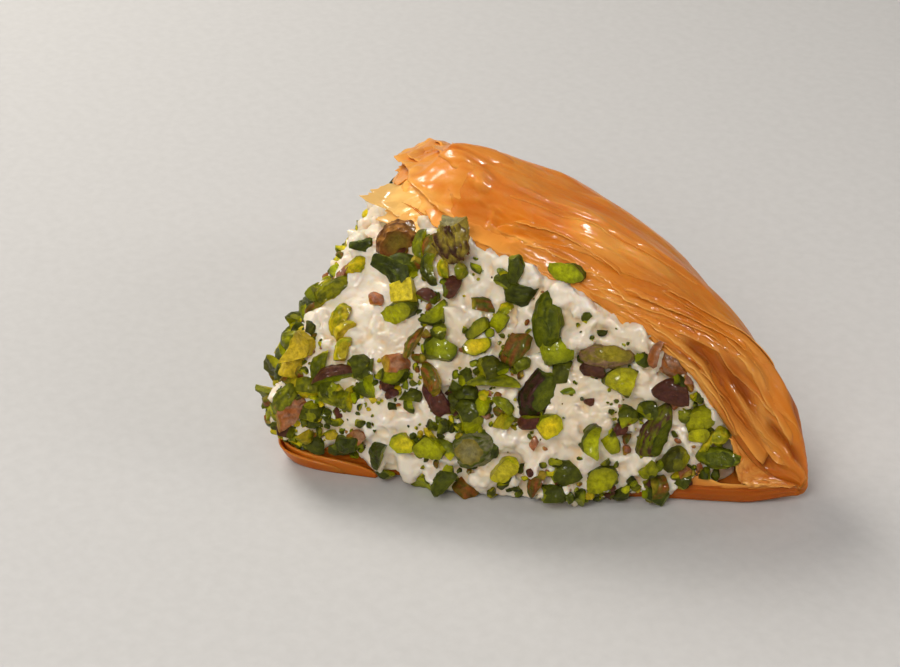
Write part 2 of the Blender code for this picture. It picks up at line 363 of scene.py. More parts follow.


# Wrinkles of the glazed skin: where each starts, bends and ends, as x and e, its height, which is below zero
# for a hollow, and its width. Raised wrinkles are painted paler, a painted highlight, and hollows deeper,
# painted shade
WRINKLES = (
    ((46, 0.6), (53, 0.4), (60, 0.3), 0.8, 0.9),
    ((52, 3.4), (57, 2.2), (64, 2.0), -1.3, 0.9),
    ((53, 6.2), (57, 5.4), (66, 2.8), 0.9, 1.1),
    ((49, 3.4), (54, 5.2), (60, 9.0), -1.4, 1.3),
    ((48, 4.0), (54, 8.0), (60, 13.0), 1.0, 1.0),
    ((58, 8.4), (63, 12.5), (65, 5.0), 0.9, 0.8),
    ((60, 7.4), (64, 9.0), (66, 6.0), -1.2, 1.0),
    ((50, 12.0), (57, 16.0), (63, 15.0), 0.5, 1.6),
    ((54, 17.5), (60, 19.0), (65, 12.0), -0.5, 1.4),
    ((37, 0.6), (43, 1.2), (52, 8.0), 0.45, 0.5),
    ((38, 2.2), (45, 3.0), (53, 10.0), 0.40, 0.5),
    ((36, 4.0), (44, 5.0), (50, 10.5), 0.35, 0.5),
    ((40, 0.0), (47, 1.6), (52, 4.5), 0.5, 0.5),
    ((42, -0.5), (49, 1.0), (54, 2.4), -0.5, 0.6),
    ((22, 5.2), (28, 8.6), (35, 7.4), 0.30, 0.45),
    ((24, 3.2), (31, 6.6), (38, 4.4), 0.30, 0.45),
    ((30, 9.5), (36, 13.0), (44, 15.0), 0.30, 0.6),
    ((13, 9.4), (20, 7.8), (20.5, 2.6), 0.35, 0.5),
    ((17, 9.2), (22, 8.4), (25, 4.2), 0.30, 0.5),
    ((4, 7.5), (11, 7.8), (15, 4.0), 0.30, 0.5),
    ((6, 17.0), (18, 17.5), (30, 21.0), 0.25, 0.8),
    ((20, 24.0), (34, 24.0), (48, 20.0), 0.30, 1.2),
    ((-12, 6.0), (-25, 4.0), (-40, 7.0), 0.6, 1.1),
    ((-20, 3.0), (-38, 3.0), (-56, 4.0), 0.8, 1.2),
    ((-30, 10.0), (-44, 8.0), (-58, 7.0), -0.8, 1.4),
    ((-30, 13.0), (-45, 15.0), (-59, 9.0), 0.9, 1.5),
    ((-4, 15.0), (-18, 12.0), (-30, 18.0), 0.5, 1.4),
    ((-24, 24.0), (-40, 24.0), (-56, 16.0), 0.6, 2.0),
    ((-42, 4.0), (-52, 2.0), (-60, 2.0), -0.7, 1.0),
)


def wrinkle(i, x, e):
    """How far wrinkle i stands out at the places x and e, as a share of its height."""
    start, bend, end, _, width = WRINKLES[i]
    x = x + 0.8 * noise(x * 0.13, e * 0.13, i * 2.7 + 0.4)
    e = e + 0.8 * noise(x * 0.13, e * 0.13, i * 3.3 + 9.4) + 0.25 * noise(x * 0.5, e * 0.5, i * 1.3)
    nearest = np.full(x.shape, 1e9)
    side = np.zeros(x.shape)
    place = np.zeros(x.shape)
    for t in np.linspace(0, 1, 29):
        at = bent(t, start, bend, end)
        way = [(1 - t) * (q - p) + t * (r - q) for p, q, r in zip(start, bend, end)]
        off_x, off_e = x - at[0], e - at[1]
        away = off_x**2 + off_e**2
        closer = away < nearest
        nearest = np.where(closer, away, nearest)
        side = np.where(closer, off_e * way[0] - off_x * way[1], side)
        place = np.where(closer, t, place)
    q = np.sqrt(nearest) / width
    across = np.exp(-(np.where(side > 0, q / 1.5, q / 0.8) ** 2))
    uneven = 0.85 + 0.4 * noise(x * 0.2, e * 0.2, i * 1.9)
    return across * smooth(0, 0.25, place) * smooth(1, 0.8, place) * uneven


# Blisters of the skin: x, e, height and size, each between 0 and 1
BLISTERS = np.random.default_rng(21).uniform(size=(46, 4))


def sag(x, e):
    """How much lower than the CAD's section the leaf lies behind the raised corner."""
    return 2.5 * smooth(7, -9, x) * smooth(-60, -50, x) * smooth(3, 9, e) * smooth(46, 32, e)


def relief(x, e):
    """How far the baked skin stands out of the smooth section, and how pale and deep it is painted there,
    with painted highlight on raised places and painted shade in low ones.
    """
    x, e = np.broadcast_arrays(np.asarray(x, float), np.asarray(e, float))
    near = smooth(34, 5, e)
    corner = smooth(24, 8, np.abs(x + 2)) * smooth(40, 20, e)
    high = 0.70 * noise(x * 0.052, e * 0.07, 3.3) + 0.30 * noise(x * 0.11, e * 0.16, 8.1)
    bend = noise(x * 0.09, e * 0.14, 15.0)
    high = high + (0.06 + 0.12 * near) * (1 - corner) * noise(x * 0.15 + bend, e * 0.5 + 1.2 * bend, 5.2)
    fine = noise(x * 0.30 + 1.5 * bend, e * 0.75 - bend, 16.0) + 0.5 * noise(x * 0.7 + bend, e * 1.5, 17.0)
    rough = smooth(-0.2, 0.5, noise(x * 0.06, e * 0.09, 18.0)) * (0.4 + 0.6 * near)
    high = high + 0.13 * rough * np.abs(fine) ** 0.8 + 0.05 * fine
    pale = 0.16 + 0.24 * noise(x * 0.07, e * 0.1, 12.0) + 0.12 * noise(x * 0.25 + bend, e * 0.6, 13.0)
    # Painted shade: deeper where the skin lies low; the tone also deepens towards the right end near the lip
    deep = 0.30 * smooth(0.3, -0.6, high) + 0.18 * smooth(30, 58, x) * near
    for i, row in enumerate(WRINKLES):
        part = wrinkle(i, x, e)
        high = high + 1.35 * row[3] * part
        # A raised wrinkle is painted paler, a painted highlight, and a hollow one deeper, painted shade
        if row[3] > 0:
            pale = pale + min(1.0, 0.9 * row[3]) * 0.45 * part
        else:
            deep = deep + 0.85 * part
    for a, b, c, size in BLISTERS:
        radius = 1.2 + 2.6 * size
        away = np.hypot((x + 55 - 115 * a) / (1.6 * radius), (e - 2 - 34 * b**1.3) / radius)
        high = high + (0.25 + 0.4 * c) * np.maximum(0, 1 - away**2) ** 1.5
        # Painted highlight: paler over the raised blister
        pale = pale + 0.22 * smooth(1.1, 0.5, away)
    # Edges of single sheets, which drop a little towards the lip, with painted light in a pale band along
    # each edge and a painted highlight on the raised fine bumps
    phase = (e + 2.2 * noise(x * 0.05, e * 0.05, 31.0) + 0.8 * noise(x * 0.2, e * 0.2, 32.0)) / 2.3
    part = phase - np.floor(phase)
    patch = smooth(-0.10, 0.45, noise(x * 0.07, e * 0.12, 33.0)) * near * (1 - corner)
    high = high + 0.13 * patch * (part - smooth(0.0, 0.10, part))
    pale = pale + 0.20 * patch * smooth(0.3, 0.1, part) * smooth(0.0, 0.1, part) + 0.12 * rough * fine
    # Streaks that run out to the raised corner, aslant of the fold; their pale lines are partly the flakes'
    # own streaks and partly a painted highlight on the streaks' ridges
    across, along = 0.57 * x - 0.82 * e, 0.82 * x + 0.57 * e
    streak = noise(across * 0.7 + 0.5 * bend, along * 0.05, 41.0)
    streak = streak + 0.5 * noise(across * 1.6, along * 0.09, 42.0)
    high = high + 0.13 * corner * streak
    pale = pale + 0.26 * corner * streak
    # Under the raised corner's flakes the cut edge stands back, and its sheets are painted pale, as if lit
    # through from behind
    under = smooth(9, -1, x) * smooth(-34, -20, x)
    high = high - 1.0 * under * smooth(20, 14, e)
    pale = pale + 0.9 * smooth(14, 2, x) * smooth(-16, -6, x) * smooth(6, 3, e)
    high = high + 0.025 * noise(x * 1.5, e * 1.5, 51.0)
    hump = smooth(-4, 6, x) * smooth(44, 24, x) * smooth(28, 38, e) * smooth(58, 48, e)
    high = high - sag(x, e) + 0.8 * hump
    # Near the right end nothing sinks down to the cream
    sunk = smooth(40, 48, x) * smooth(17, 12, e)
    high = np.where(high < -0.7, mix(high, -0.7 + 0.2 * (high + 0.7), sunk), high)
    return high, pale, deep


def build_body(skin):
    """The closed shell: lower leaf, fold and upper leaf, with the baked relief on its outside."""
    spread = np.linspace(-1, 1, 300)
    spread = 0.7 * spread + 0.3 * np.sin(math.pi / 2 * spread)
    x = np.where(spread > 0, spread * RIGHT_HALF, spread * LEFT_HALF)
    fold = Fold(x)
    length = np.interp(x, skin.x, skin.length)
    nothing = np.zeros(x.shape)
    columns = []

    def column(d, z, high=nothing, pale=0.3 + nothing, deep=0.35 + nothing):
        columns.append([np.broadcast_to(v, x.shape) for v in (d, z, high, pale, deep)])

    heel = np.minimum(0.9 * fold.back_height, 0.5 * fold.front + 1.0)
    for s in np.linspace(0, 1, 9)[:-1]:
        column(mix(fold.front - 1.2, heel - fold.bulge, s), 0.02, deep=0.6)
    low = relief(x, length)
    for s in np.linspace(0, 1, 16)[:-1]:
        angle = math.pi / 2 * s
        d = heel * (1 - math.sin(angle)) - fold.bulge
        rough = 0.25 * noise(x * 0.12, s * 2.0, 61.0)
        z = fold.back_height * (1 - math.cos(angle))
        column(d, z, mix(rough, low[0], s) * smooth(0, 0.3, s), low[1], low[2])
    for u in np.linspace(0, 1, 150):
        d, z = skin.section(x, u)
        column(d, z, *relief(x, (1 - u) * length))
    for s in np.linspace(0, 1, 5)[1:-1]:
        column(fold.inner_reach + 0.25 - 0.8 * s, fold.inner_top + 0.3 - 0.3 * s)
    # Along the roof inside the mouth and down to the lower leaf's top under the upper one, the tone is deep:
    # painted shade
    for t in np.linspace(0.97, 0, 26):
        d, z = bezier(fold.roof, t)
        column(d, z, deep=0.7)
    for s in np.linspace(0, 1, 7)[1:-1]:
        column(mix(fold.roof[0][0], fold.foot[0], s), mix(fold.roof[0][1], fold.foot[1], s), deep=0.8)
    top = LEAF_THICKNESS - 0.3
    for s in np.linspace(0, 1, 26):
        d = mix(fold.foot[0], fold.front - 2.0, s)
        dent = 1.1 * smooth(50, 58, x) * math.sin(math.pi * s) ** 2 * smooth(66, 63, x)
        column(d, top + 0.3 * noise(x * 0.15, d * 0.2, 71.0) * math.sin(math.pi * s) - dent, deep=0.75)
    for s in np.linspace(0, 1, 22)[1:-1]:
        angle = math.pi * s
        waves = 0.28 * noise(x * 0.06, s * 2.5, 20.0) + 0.10 * noise(x * 0.2, s * 9.0, 21.0)
        reach = fold.front - 1.6 + 1.5 * math.sin(angle) ** 0.6
        lines = 0.10 * math.sin(s * 30.0)
        pale = 0.15 + 0.2 * noise(x * 0.1, s * 7.0, 22.0)
        z = top * (0.5 + 0.5 * math.cos(angle))
        column(reach, z, waves + lines, pale, 0.66 + 0.2 * smooth(35, 55, x))

    d, z, high, pale, deep = (np.stack(values, axis=1) for values in zip(*columns))
    curl = CORNER_CURL * smooth(0.8, 1.0, fold.k)[:, None] * smooth(-16, 0, d - fold.front[:, None])
    middle = Fold(np.broadcast_to(x[:, None], d.shape)).place(d, z)
    middle[..., 2] += np.where(z < LEAF_THICKNESS + 0.1, curl, 0.0)
    normal = ring_normals(middle)
    if normal[150, 100, 2] < 0:
        normal = -normal
    points = middle + normal * (high - 0.25)[..., None]
    points[..., 2] = np.maximum(points[..., 2], 0.0)
    rings, count = d.shape
    tone = tone_of(pale, deep).reshape(-1, 4)
    return make_object("pastry_body", points.reshape(-1, 3), tube_faces(rings, count), [("tone", tone)])


def leave(skin, x, e, hold, rise):
    """Places on the skin as far as e = hold and from there straight out, rising, with their normals."""
    place, normal = skin.points(x, np.maximum(e, hold))
    way = unit(np.array((0.0, -1.0, rise)))
    return place + way * np.maximum(hold - e, 0)[..., None], normal


# Broad sheets over one another at the raised corner: the free edge as x and e, the e where they leave the
# leaf, how they rise from there, the e where they start and how pale they are
CORNER_SHEETS = (
    (
        (
            (-34, 7), (-28, 1), (-23, -2.6), (-17, 0.4), (-12, 2.6),
            (-6, 4.4), (-1, 5.0), (3, 3.5), (8, 2.5), (15, 2.6),
        ),
        4.5, 0.04, 17.0, 0.26,
    ),
    (((-32, 9), (-27, 3), (-20, 0.6), (-15, 3.5), (-8, 6.8), (-2, 9.0), (6, 9.5)), 7.0, 0.12, 19.0, 0.20),
    (
        (
            (-38, 14), (-31, 8.4), (-27, 6.6), (-22, 9.2), (-18, 7.0),
            (-12, 9.6), (-4, 12.2), (0, 12.4), (6, 10.8), (13, 11.4),
        ),
        11.0, 0.45, 28.0, 0.12,
    ),
    (((-20, 17), (-14, 13.2), (-9, 14.5), (-3, 16.0), (6, 16.5)), 16.5, 0.55, 30.0, 0.10),
)


# Ruffles beside the cream at the right end: start, bend and end as x and e, width and lift
RUFFLES = (
    ((41, 0.6), (50, 0.9), (59, 0.8), 1.7, 0.8),
    ((44, 2.2), (52, 2.4), (61, 2.0), 1.6, 0.7),
    ((37, 2.6), (46, 3.6), (53, 8.5), 1.8, 0.5),
    ((40, 4.6), (48, 6.2), (55, 12.0), 2.0, 0.5),
    ((46, 3.4), (54, 6.0), (62, 11.0), 1.7, 0.8),
    ((52, 1.6), (58, 3.0), (65, 4.0), 1.5, 0.7),
    ((54, 9.0), (60, 12.0), (65, 8.4), 2.0, 0.6),
    ((33, 0.8), (42, 1.2), (48, 3.6), 1.5, 0.4),
    ((22, 6.4), (31, 8.6), (40, 7.0), 1.6, 0.4),
    ((26, 3.0), (34, 5.2), (43, 3.6), 1.5, 0.4),
    ((43, 10.5), (51, 12.5), (58, 17.0), 2.0, 0.4),
)


# Ragged ends of the lowest sheets: where they start and end along the lip, how far past it, and how lifted
LIP_ENDS = ((-56, -4, 0.8, 0.1), (10, 62, 0.5, 0.15), (8, 40, 0.1, 0.5))
# Where the torn sheet over the mouth and the film on the lower leaf start, and how long they are
MOUTH_START = 58.3
MOUTH_LENGTH = 8.1
FILM_START = 51.5
FILM_LENGTH = 13.5


def add_patches(sheets, skin):
    """Patches of single sheets on the leaf, each with a ragged, hardly lifted lower edge."""
    draw = np.random.default_rng(47)
    for i in range(24):
        right_side = i % 4 < 3
        centre_x = draw.uniform(14, 62) if right_side else draw.uniform(-56, -12)
        room = float(Fold(np.array(centre_x)).k)
        centre_e = 1.5 + (8 + 22 * room) * draw.uniform() ** 1.4
        half_length, wide = draw.uniform(4, 9), draw.uniform(2.6, 5.0) * (0.6 + 0.6 * room)
        slant = draw.uniform(-0.05, 0.30) * (1 if right_side else -1)
        low_x, high_x = max(centre_x - half_length, -59.5), min(centre_x + half_length, 65.2)
        x, v = grid(low_x, high_x, 50, 10)
        s = (x - low_x) / (high_x - low_x)
        ends = np.sqrt(np.clip(1 - (2 * s - 1) ** 4, 0, 1))
        ragged = 0.8 * noise(x * 0.22, i * 3.1, 2.0) + 0.4 * noise(x * 0.8, i * 4.7, 4.0)
        ragged = ragged + 0.15 * noise(x * 2.4, i * 1.7)
        lower = centre_e + slant * (x - centre_x) - ragged
        e = np.maximum(lower + wide * ends * (1 - v) + 0.8 * (1 - ends), -0.3)
        place, normal = skin.points(x, e)
        high, pale, deep = relief(x, e)
        lift = 0.05 + 0.30 * np.maximum(noise(x * 0.16, i * 2.9, 6.0), 0)
        rise = high + 0.02 - 0.30 * smooth(0.35, 0.0, v) - 0.30 * smooth(0.5, 0.0, ends) + lift * v**2 * ends
        # The lifted lower edge is painted paler, painted light through the thin edge; the relief's deep tone
        # is painted shade
        tone = tone_of(pale + 0.25 * smooth(0.8, 1.0, v), deep)
        sheets.add(place + normal * (rise - 0.32)[..., None], 0.26 - 0.06 * v, tone)


def add_corner_sheets(sheets, skin):
    """Broad sheets at the raised corner, with torn free edges that leave the leaf."""
    for i, (edge, hold, rise, start, pale_by) in enumerate(CORNER_SHEETS):
        at = np.array(edge, float)
        first, last = at[0, 0], at[-1, 0]
        x = np.linspace(first, last, 150)
        lower = np.interp(x, at[:, 0], at[:, 1])
        for _ in range(12):
            relax(lower)
        teeth = np.abs(noise(x * 0.34, i * 5.3, 1.0)) + 0.6 * np.abs(noise(x * 0.9, i * 3.9, 2.0))
        teeth = teeth + 0.3 * noise(x * 2.3, i * 2.1)
        free = smooth(hold + 1.0, hold - 3.0, lower)[:, None]
        lower = lower[:, None] + (0.22 + 1.1 * free * (0.3 + 0.7 * (i > 1))) * (teeth[:, None] - 0.4)
        x, v = grid(first, last, 150, 24)
        fade = smooth(first, first + 4, x) * smooth(last, last - 9, x)
        e = mix(start, lower, v)
        place, normal = leave(skin, x, e, hold, rise)
        high, pale, deep = relief(x, np.maximum(e, hold))
        streak = noise((0.57 * x - 0.82 * e) * 0.8, (0.82 * x + 0.57 * e) * 0.06, 41.0 + i)
        out = high + 1.0 * smooth(9, -1, x) * smooth(-34, -20, x) * smooth(20, 14, np.maximum(e, hold))
        up = mix(out, 0.3 - sag(x, hold), smooth(0.0, 1.0, free * v)) + 0.06 + 0.05 * i * fade
        up = up + (0.10 + 0.25 * free + 0.25 * noise(x * 0.12, i * 3.7, 5.0)) * v**3 * fade
        up = up + 0.12 * streak * v
        up = up + 0.5 * noise(x * 0.3, e * 0.3, i * 7.7) * free * v
        up = up - 0.7 * smooth(0.25, 0.0, v) - 0.8 * (1 - fade)
        # The free edge is painted paler, most where it leaves the leaf: painted light through the thin edge.
        # Away from the edge, where the sheet lies on the leaf, the tone is deeper
        shade = pale_by + 0.25 * streak + 0.45 * smooth(0.75, 1.0, v) * (0.4 + 0.6 * free)
        tone = tone_of(pale * 0.5 + shade, 0.3 * deep + 0.25 * smooth(0.5, 0.0, v) * (1 - free))
        sheets.add(place + normal * (up - 0.25)[..., None], 0.22 - 0.10 * v, tone)


def add_ruffles(sheets, skin):
    """Ruffles of single sheets that run down to the right end, each with a pale, lifted lower edge."""
    for i, (start, bend, end, wide, lift) in enumerate(RUFFLES):
        t, v = grid(0, 1, 90, 12)
        x, e = bent(t, start, bend, end)
        ends = smooth(0, 0.12, t) * smooth(1, 0.88, t)
        ragged = 0.5 * noise(x * 0.35, i * 3.3, 2.0) + 0.25 * noise(x * 1.1, i * 4.1, 4.0)
        x = x + 0.4 * noise(t * 5.0, i * 2.2, 6.0)
        e = np.maximum(e + (1 - v) * wide * ends - ragged * v, -0.6)
        place, normal = skin.points(x, e)
        high, pale, deep = relief(x, e)
        wave = 1 + 0.9 * noise(t * 5.0, i * 2.9, 7.0)
        rise = high + 0.03 + lift * wave * v**2.2 * ends - 0.35 * smooth(0.3, 0.0, v) - 0.3 * (1 - ends)
        # The lifted lower edge is painted pale, painted light through the thin edge, and the half away from
        # it deeper, painted shade in the gaps between ruffles
        tone = tone_of(pale + 0.45 * smooth(0.75, 1.0, v), deep * (1 - 0.5 * v) + 0.25 * smooth(0.5, 0.2, v))
        sheets.add(place + normal * (rise - 0.25)[..., None], 0.24 - 0.10 * v, tone)


def add_lip_ends(sheets, skin):
    """Ragged ends of the lowest sheets, a little past the lip."""
    for i, (start, end, reach, lift) in enumerate(LIP_ENDS):
        x, v = grid(start, end, int((end - start) / 0.4), 12)
        s = (x - start) / (end - start)
        fade = smooth(0, 0.15, s) * smooth(1, 0.85, s)
        ragged = 0.9 * noise(x * 0.16, i * 7.7, 1.0) + 0.55 * noise(x * 0.55, i * 3.3, 2.0)
        ragged = ragged + 0.3 * noise(x * 1.7, i * 2.3, 3.0)
        tip_e = -(reach + ragged) * fade + (1 - fade)
        e = tip_e + 4.0 * (1 - v)
        place, normal = skin.points(x, e)
        high, _, deep = relief(x, np.maximum(e, 0))
        raised = lift * v * v * (1 + 0.8 * noise(x * 0.2, i * 1.0, 8.0)) * fade
        rise = np.maximum(high, -0.4) * smooth(0.9, 0.3, v) + raised
        rise = rise + 0.08 - 0.5 * smooth(0.3, 0.0, v)
        # Paler towards the ragged tips, painted light through the thin ends; the relief's deep tone, painted
        # shade, fades out towards them
        tone = tone_of(0.25 + 0.3 * v, 0.5 * deep * (1 - v))
        sheets.add(place + normal * (rise - 0.25)[..., None], 0.24 - 0.10 * v, tone)


def add_mouth(sheets):
    """The crinkled, torn sheet over the mouth at the right end, and a film over the lower leaf to its tip."""
    x, v = grid(MOUTH_START, MOUTH_START + MOUTH_LENGTH, 100, 30)
    fold = Fold(x)
    s = (x - MOUTH_START) / MOUTH_LENGTH
    crinkle = noise(x * 1.0 + v, v * 3.0, 91.0) + 0.8 * np.abs(noise(x * 2.1, v * 5.0 + x * 0.6, 92.0))
    tall = 0.80 + 0.25 * noise(x * 0.6, 93.0) + 0.22 * noise(x * 1.9, 94.0)
    drop = (fold.inner_top - 4.0) * tall * smooth(0, 0.25, s)
    d = fold.inner_reach + 0.3 + 2.0 * np.sin(math.pi * 0.5 * v) * smooth(0, 0.4, s)
    d = d + 0.7 * crinkle * smooth(0, 0.3, v)
    z = fold.inner_top + 0.6 - (0.9 + drop) * v + 0.5 * crinkle * v
    # Paler where it crinkles out, a painted highlight; deeper at the top and yellower towards the torn end
    sheets.add(fold.place(d, z), 0.22 - 0.08 * v, tone_of(0.30 + 0.60 * crinkle, 0.45 * (1 - v), 0.15 * v))
    x, v = grid(FILM_START, FILM_START + FILM_LENGTH, 90, 14)
    fold = Fold(x)
    s = (x - FILM_START) / FILM_LENGTH
    tall = mix(5.2, 0.9, smooth(0.0, 0.5, s)) * smooth(1.0, 0.85, s)
    d = fold.front - 1.3 - 1.6 * v * smooth(0.6, 0.0, s) + 0.25 * noise(x * 0.5, v * 2.0, 95.0)
    points = fold.place(d, LEAF_THICKNESS - 0.8 + tall * v * (1 + 0.15 * noise(x * 0.6, 96.0)))
    sheets.add(points, 0.25 - 0.10 * v, tone_of(0.40 + 0.4 * v, 0.5 * (1 - v)))


def build_sheets(skin):
    """Thin sheets whose edges show, over the leaf and at its corner, lip and torn mouth."""
    sheets = Sheets()
    add_patches(sheets, skin)
    add_corner_sheets(sheets, skin)
    add_ruffles(sheets, skin)
    add_lip_ends(sheets, skin)
    add_mouth(sheets)
    return sheets.build("pastry_sheets")


# Flakes of the raised corner: x of the tip, the e where it leaves the leaf, reach beyond that, its rise,
# x and e of the root, half the width at the root and at the tip, slope down along the fold, how pale it is
# How pale a flake is, is partly its own tone and partly painted light shining through it; the palest are
# painted yellow as well
FLAKES = (
    (-5.0, 19.0, 4.0, 0.55, 2.5, 23.0, 2.6, 0.5, 0.0, 0.80),
    (-6.5, 15.5, 5.2, 0.05, 2.0, 20.0, 3.0, 0.6, 0.1, 0.75),
    (-21.0, 5.0, 7.0, 0.02, -12.0, 13.0, 5.0, 3.4, 0.2, 0.45),
    (-15.0, 9.5, 4.4, 0.10, -6.0, 17.0, 5.0, 3.0, 0.2, 0.30),
    (-10.5, 12.5, 3.8, -0.15, -1.0, 20.0, 5.0, 1.8, 0.2, 0.75),
    (-2.0, 3.0, 10.5, 0.22, 4.0, 9.0, 6.0, 2.6, 0.55, 1.0),
    (2.0, 0.5, 7.0, 0.0, 8.0, 6.0, 6.0, 3.8, 0.5, 0.90),
    (5.5, 0.2, 4.5, -0.1, 11.0, 5.0, 5.0, 3.6, 0.4, 0.86),
    (8.0, 0.6, 2.4, 0.10, 13.0, 5.0, 4.5, 3.6, 0.3, 0.70),
    (-30.0, 4.0, 3.2, 0.20, -19.0, 16.0, 7.5, 4.0, 0.0, 0.40),
    (-40.0, 3.0, 2.6, 0.10, -30.0, 12.0, 7.0, 4.5, 0.0, 0.35),
)
# How much lower than straight out the flakes' ends lie
FLAKE_DROP = 1.3


def build_fan(skin):
    """The torn, streaky flakes that fan out at the raised corner."""
    fan = Sheets()
    draw = np.random.default_rng(31)
    for number, row in enumerate(FLAKES):
        tip_x, hold, reach, rise, root_x, root_e, root_width, tip_width, slope, pale = row
        s, w = grid(0, 1, 60, 44, start=-1)
        point_at = draw.uniform(-0.5, 0.5)
        teeth = 0.14 * np.abs(noise(w * 1.6, number * 3.9, 0.5))
        teeth = teeth + 0.10 * np.abs(noise(w * 4.5, number * 2.1, 1.5))
        along = s * (1 - 0.32 * np.abs(w - point_at) ** 1.3 - teeth)
        tip_e = hold - reach
        way = np.array((tip_x - root_x, root_e - tip_e))
        way = way / np.linalg.norm(way)
        half = mix(root_width, tip_width, smooth(0.2, 0.95, along))
        ragged = 1 + 0.14 * noise(s * 6.0, number * 5.3, np.sign(w) * 3)
        ragged = ragged + 0.07 * noise(s * 20.0, number * 1.3, np.sign(w) * 5)
        aside = w * half * ragged
        x = mix(root_x, tip_x, along) + way[1] * aside
        e = mix(root_e, tip_e, along) + way[0] * aside * 0.8
        place, normal = leave(skin, x, e, hold, rise)
        high, _, _ = relief(x, np.maximum(e, hold))
        flat = mix(high, 0.15 - sag(x, hold), smooth(0.3, 0.8, s))
        streak = 0.12 * noise(aside * 0.9, s * 1.3, number * 1.7)
        streak = streak + 0.06 * noise(aside * 2.3, s * 2.2, number * 2.9)
        curl = (0.2 + 0.5 * draw.uniform()) * (w * w - 0.35) * smooth(0.5, 1.0, s)
        curl = curl + 0.6 * noise(w * 0.9, s * 2.2, number * 7.1) * smooth(0.2, 1.0, s)
        sunk = -0.7 * smooth(0.3, 0.0, s) - 0.45 * np.abs(w) ** 3 * smooth(0.8, 0.4, s)
        middle = place + normal * (flat + streak + curl + sunk)[..., None]
        middle[..., 2] -= slope * (x - tip_x) * smooth(0, 5, hold - e) + FLAKE_DROP * smooth(0.1, 0.8, s)
        for _ in range(4):
            relax(middle)
        # Painted light: paler and yellower towards the thin tips, as if lit through from behind; deeper
        # towards the root
        yellow = 0.35 + 0.5 * smooth(0.2, 0.9, s) + 0.35 * noise(aside * 0.6, s * 1.5, number * 5.5)
        tone = tone_of(
            pale + 0.22 * noise(aside * 0.9, s * 1.2, number * 1.9) + 0.25 * smooth(0.85, 1.0, s),
            0.35 * smooth(0.5, 0.0, s) * (1 - pale),
            max(pale - 0.75, 0) * 4 * yellow,
        )
        fan.add(middle, 0.28 - 0.14 * s, tone)
    return fan.build("pastry_fan")


# The rim's sheets: where each starts and ends along the fold, its height and how far it leans out
RIM_SHEETS = ((-26, 14.5, 4.2, 0.6), (-22, 10.0, 3.2, 1.4))


def build_rim():
    """The lower leaf's upturned corner in front of the cream, a rounded petal of a few sheets."""
    rim = Sheets()
    for number, (low, high, height, out) in enumerate(RIM_SHEETS):
        x, v = grid(low, high, 120, 14)
        s = (x - low) / (high - low)
        fold = Fold(x, 5.0)
        ends = np.sqrt(np.clip(1 - np.abs(2 * s - 1) ** 2.6, 0, 1))
        rise = height * ends * (1 + 0.14 * noise(x * 0.12, number * 2.0, 3.0))
        lean_out = out * v**0.5 + 1.0 * v**1.5 + 0.4 * noise(x * 0.08, v * 1.5, number * 4.0 + 9.0)
        points = fold.place(fold.front - 1.0 + lean_out * ends, 0.25 + rise * v)
        # Paler at the top edge, painted light through the thin edge, and deeper towards the bottom
        tone = tone_of(0.05 + 0.30 * smooth(0.8, 1, v) + 0.15 * noise(x * 0.1, v * 2, 5.0), 0.75 - 0.3 * v)
        rim.add(points, 0.9 - 0.5 * v, tone)
    return rim.build("pastry_rim")


# ---------------------------------------------------------------- cream


def face_frame(x, share):
    """A point of the cream's smooth face, with the directions along the fold, up the face and out of it."""
    xs = np.array([x, x + 1.0, x - 1.0, x, x])
    fold = Fold(xs)
    shares = np.array([share, share, share, share + 0.04, share - 0.04])
    points = fold.place(*bezier(fold.face, shares), scaled=False)
    side = unit(points[1] - points[2])
    up = unit(points[3] - points[4])
    out = unit(np.cross(side, up))
    return points[0], side, np.cross(out, side), out


def sphere(level):
    """The corners and triangles of a unit ball of triangles."""
    mesh = bmesh.new()
    bmesh.ops.create_icosphere(mesh, subdivisions=level, radius=1.0)
    points = np.array([vert.co[:] for vert in mesh.verts])
    faces = np.array([[vert.index for vert in face.verts] for face in mesh.faces])
    mesh.free()
    return points, faces


def turned(draw):
    """A random rotation."""
    axes, _ = np.linalg.qr(draw.normal(size=(3, 3)))
    return axes


# Lumps that stand out of the cream: x, share of its height, size
CREAM_LUMPS = (
    (29.5, 1.00, 2.3), (31.0, 0.98, 2.2), (28.0, 1.00, 1.8), (32.5, 0.95, 2.2), (30.3, 1.01, 1.5),
    (38.5, 1.00, 1.8), (39.5, 0.98, 1.8), (37.5, 0.96, 2.0), (20.0, 1.00, 1.7), (14.0, 0.98, 1.8),
    (23.5, 0.97, 1.8),
    (46.0, 0.96, 1.6), (50.0, 0.94, 1.5), (11.0, 0.99, 1.6), (26.0, 0.99, 1.4),
    (40.0, 0.10, 3.2), (30.0, 0.08, 3.0), (22.0, 0.10, 2.8), (48.0, 0.10, 2.6),
)


# Where the cream starts and ends along the fold, how many curds are tried on it, and how fine its mesh is
CREAM_START = -51.0
CREAM_END = 55.8
LUMP_TRIES = 1150
VOXEL = 0.54


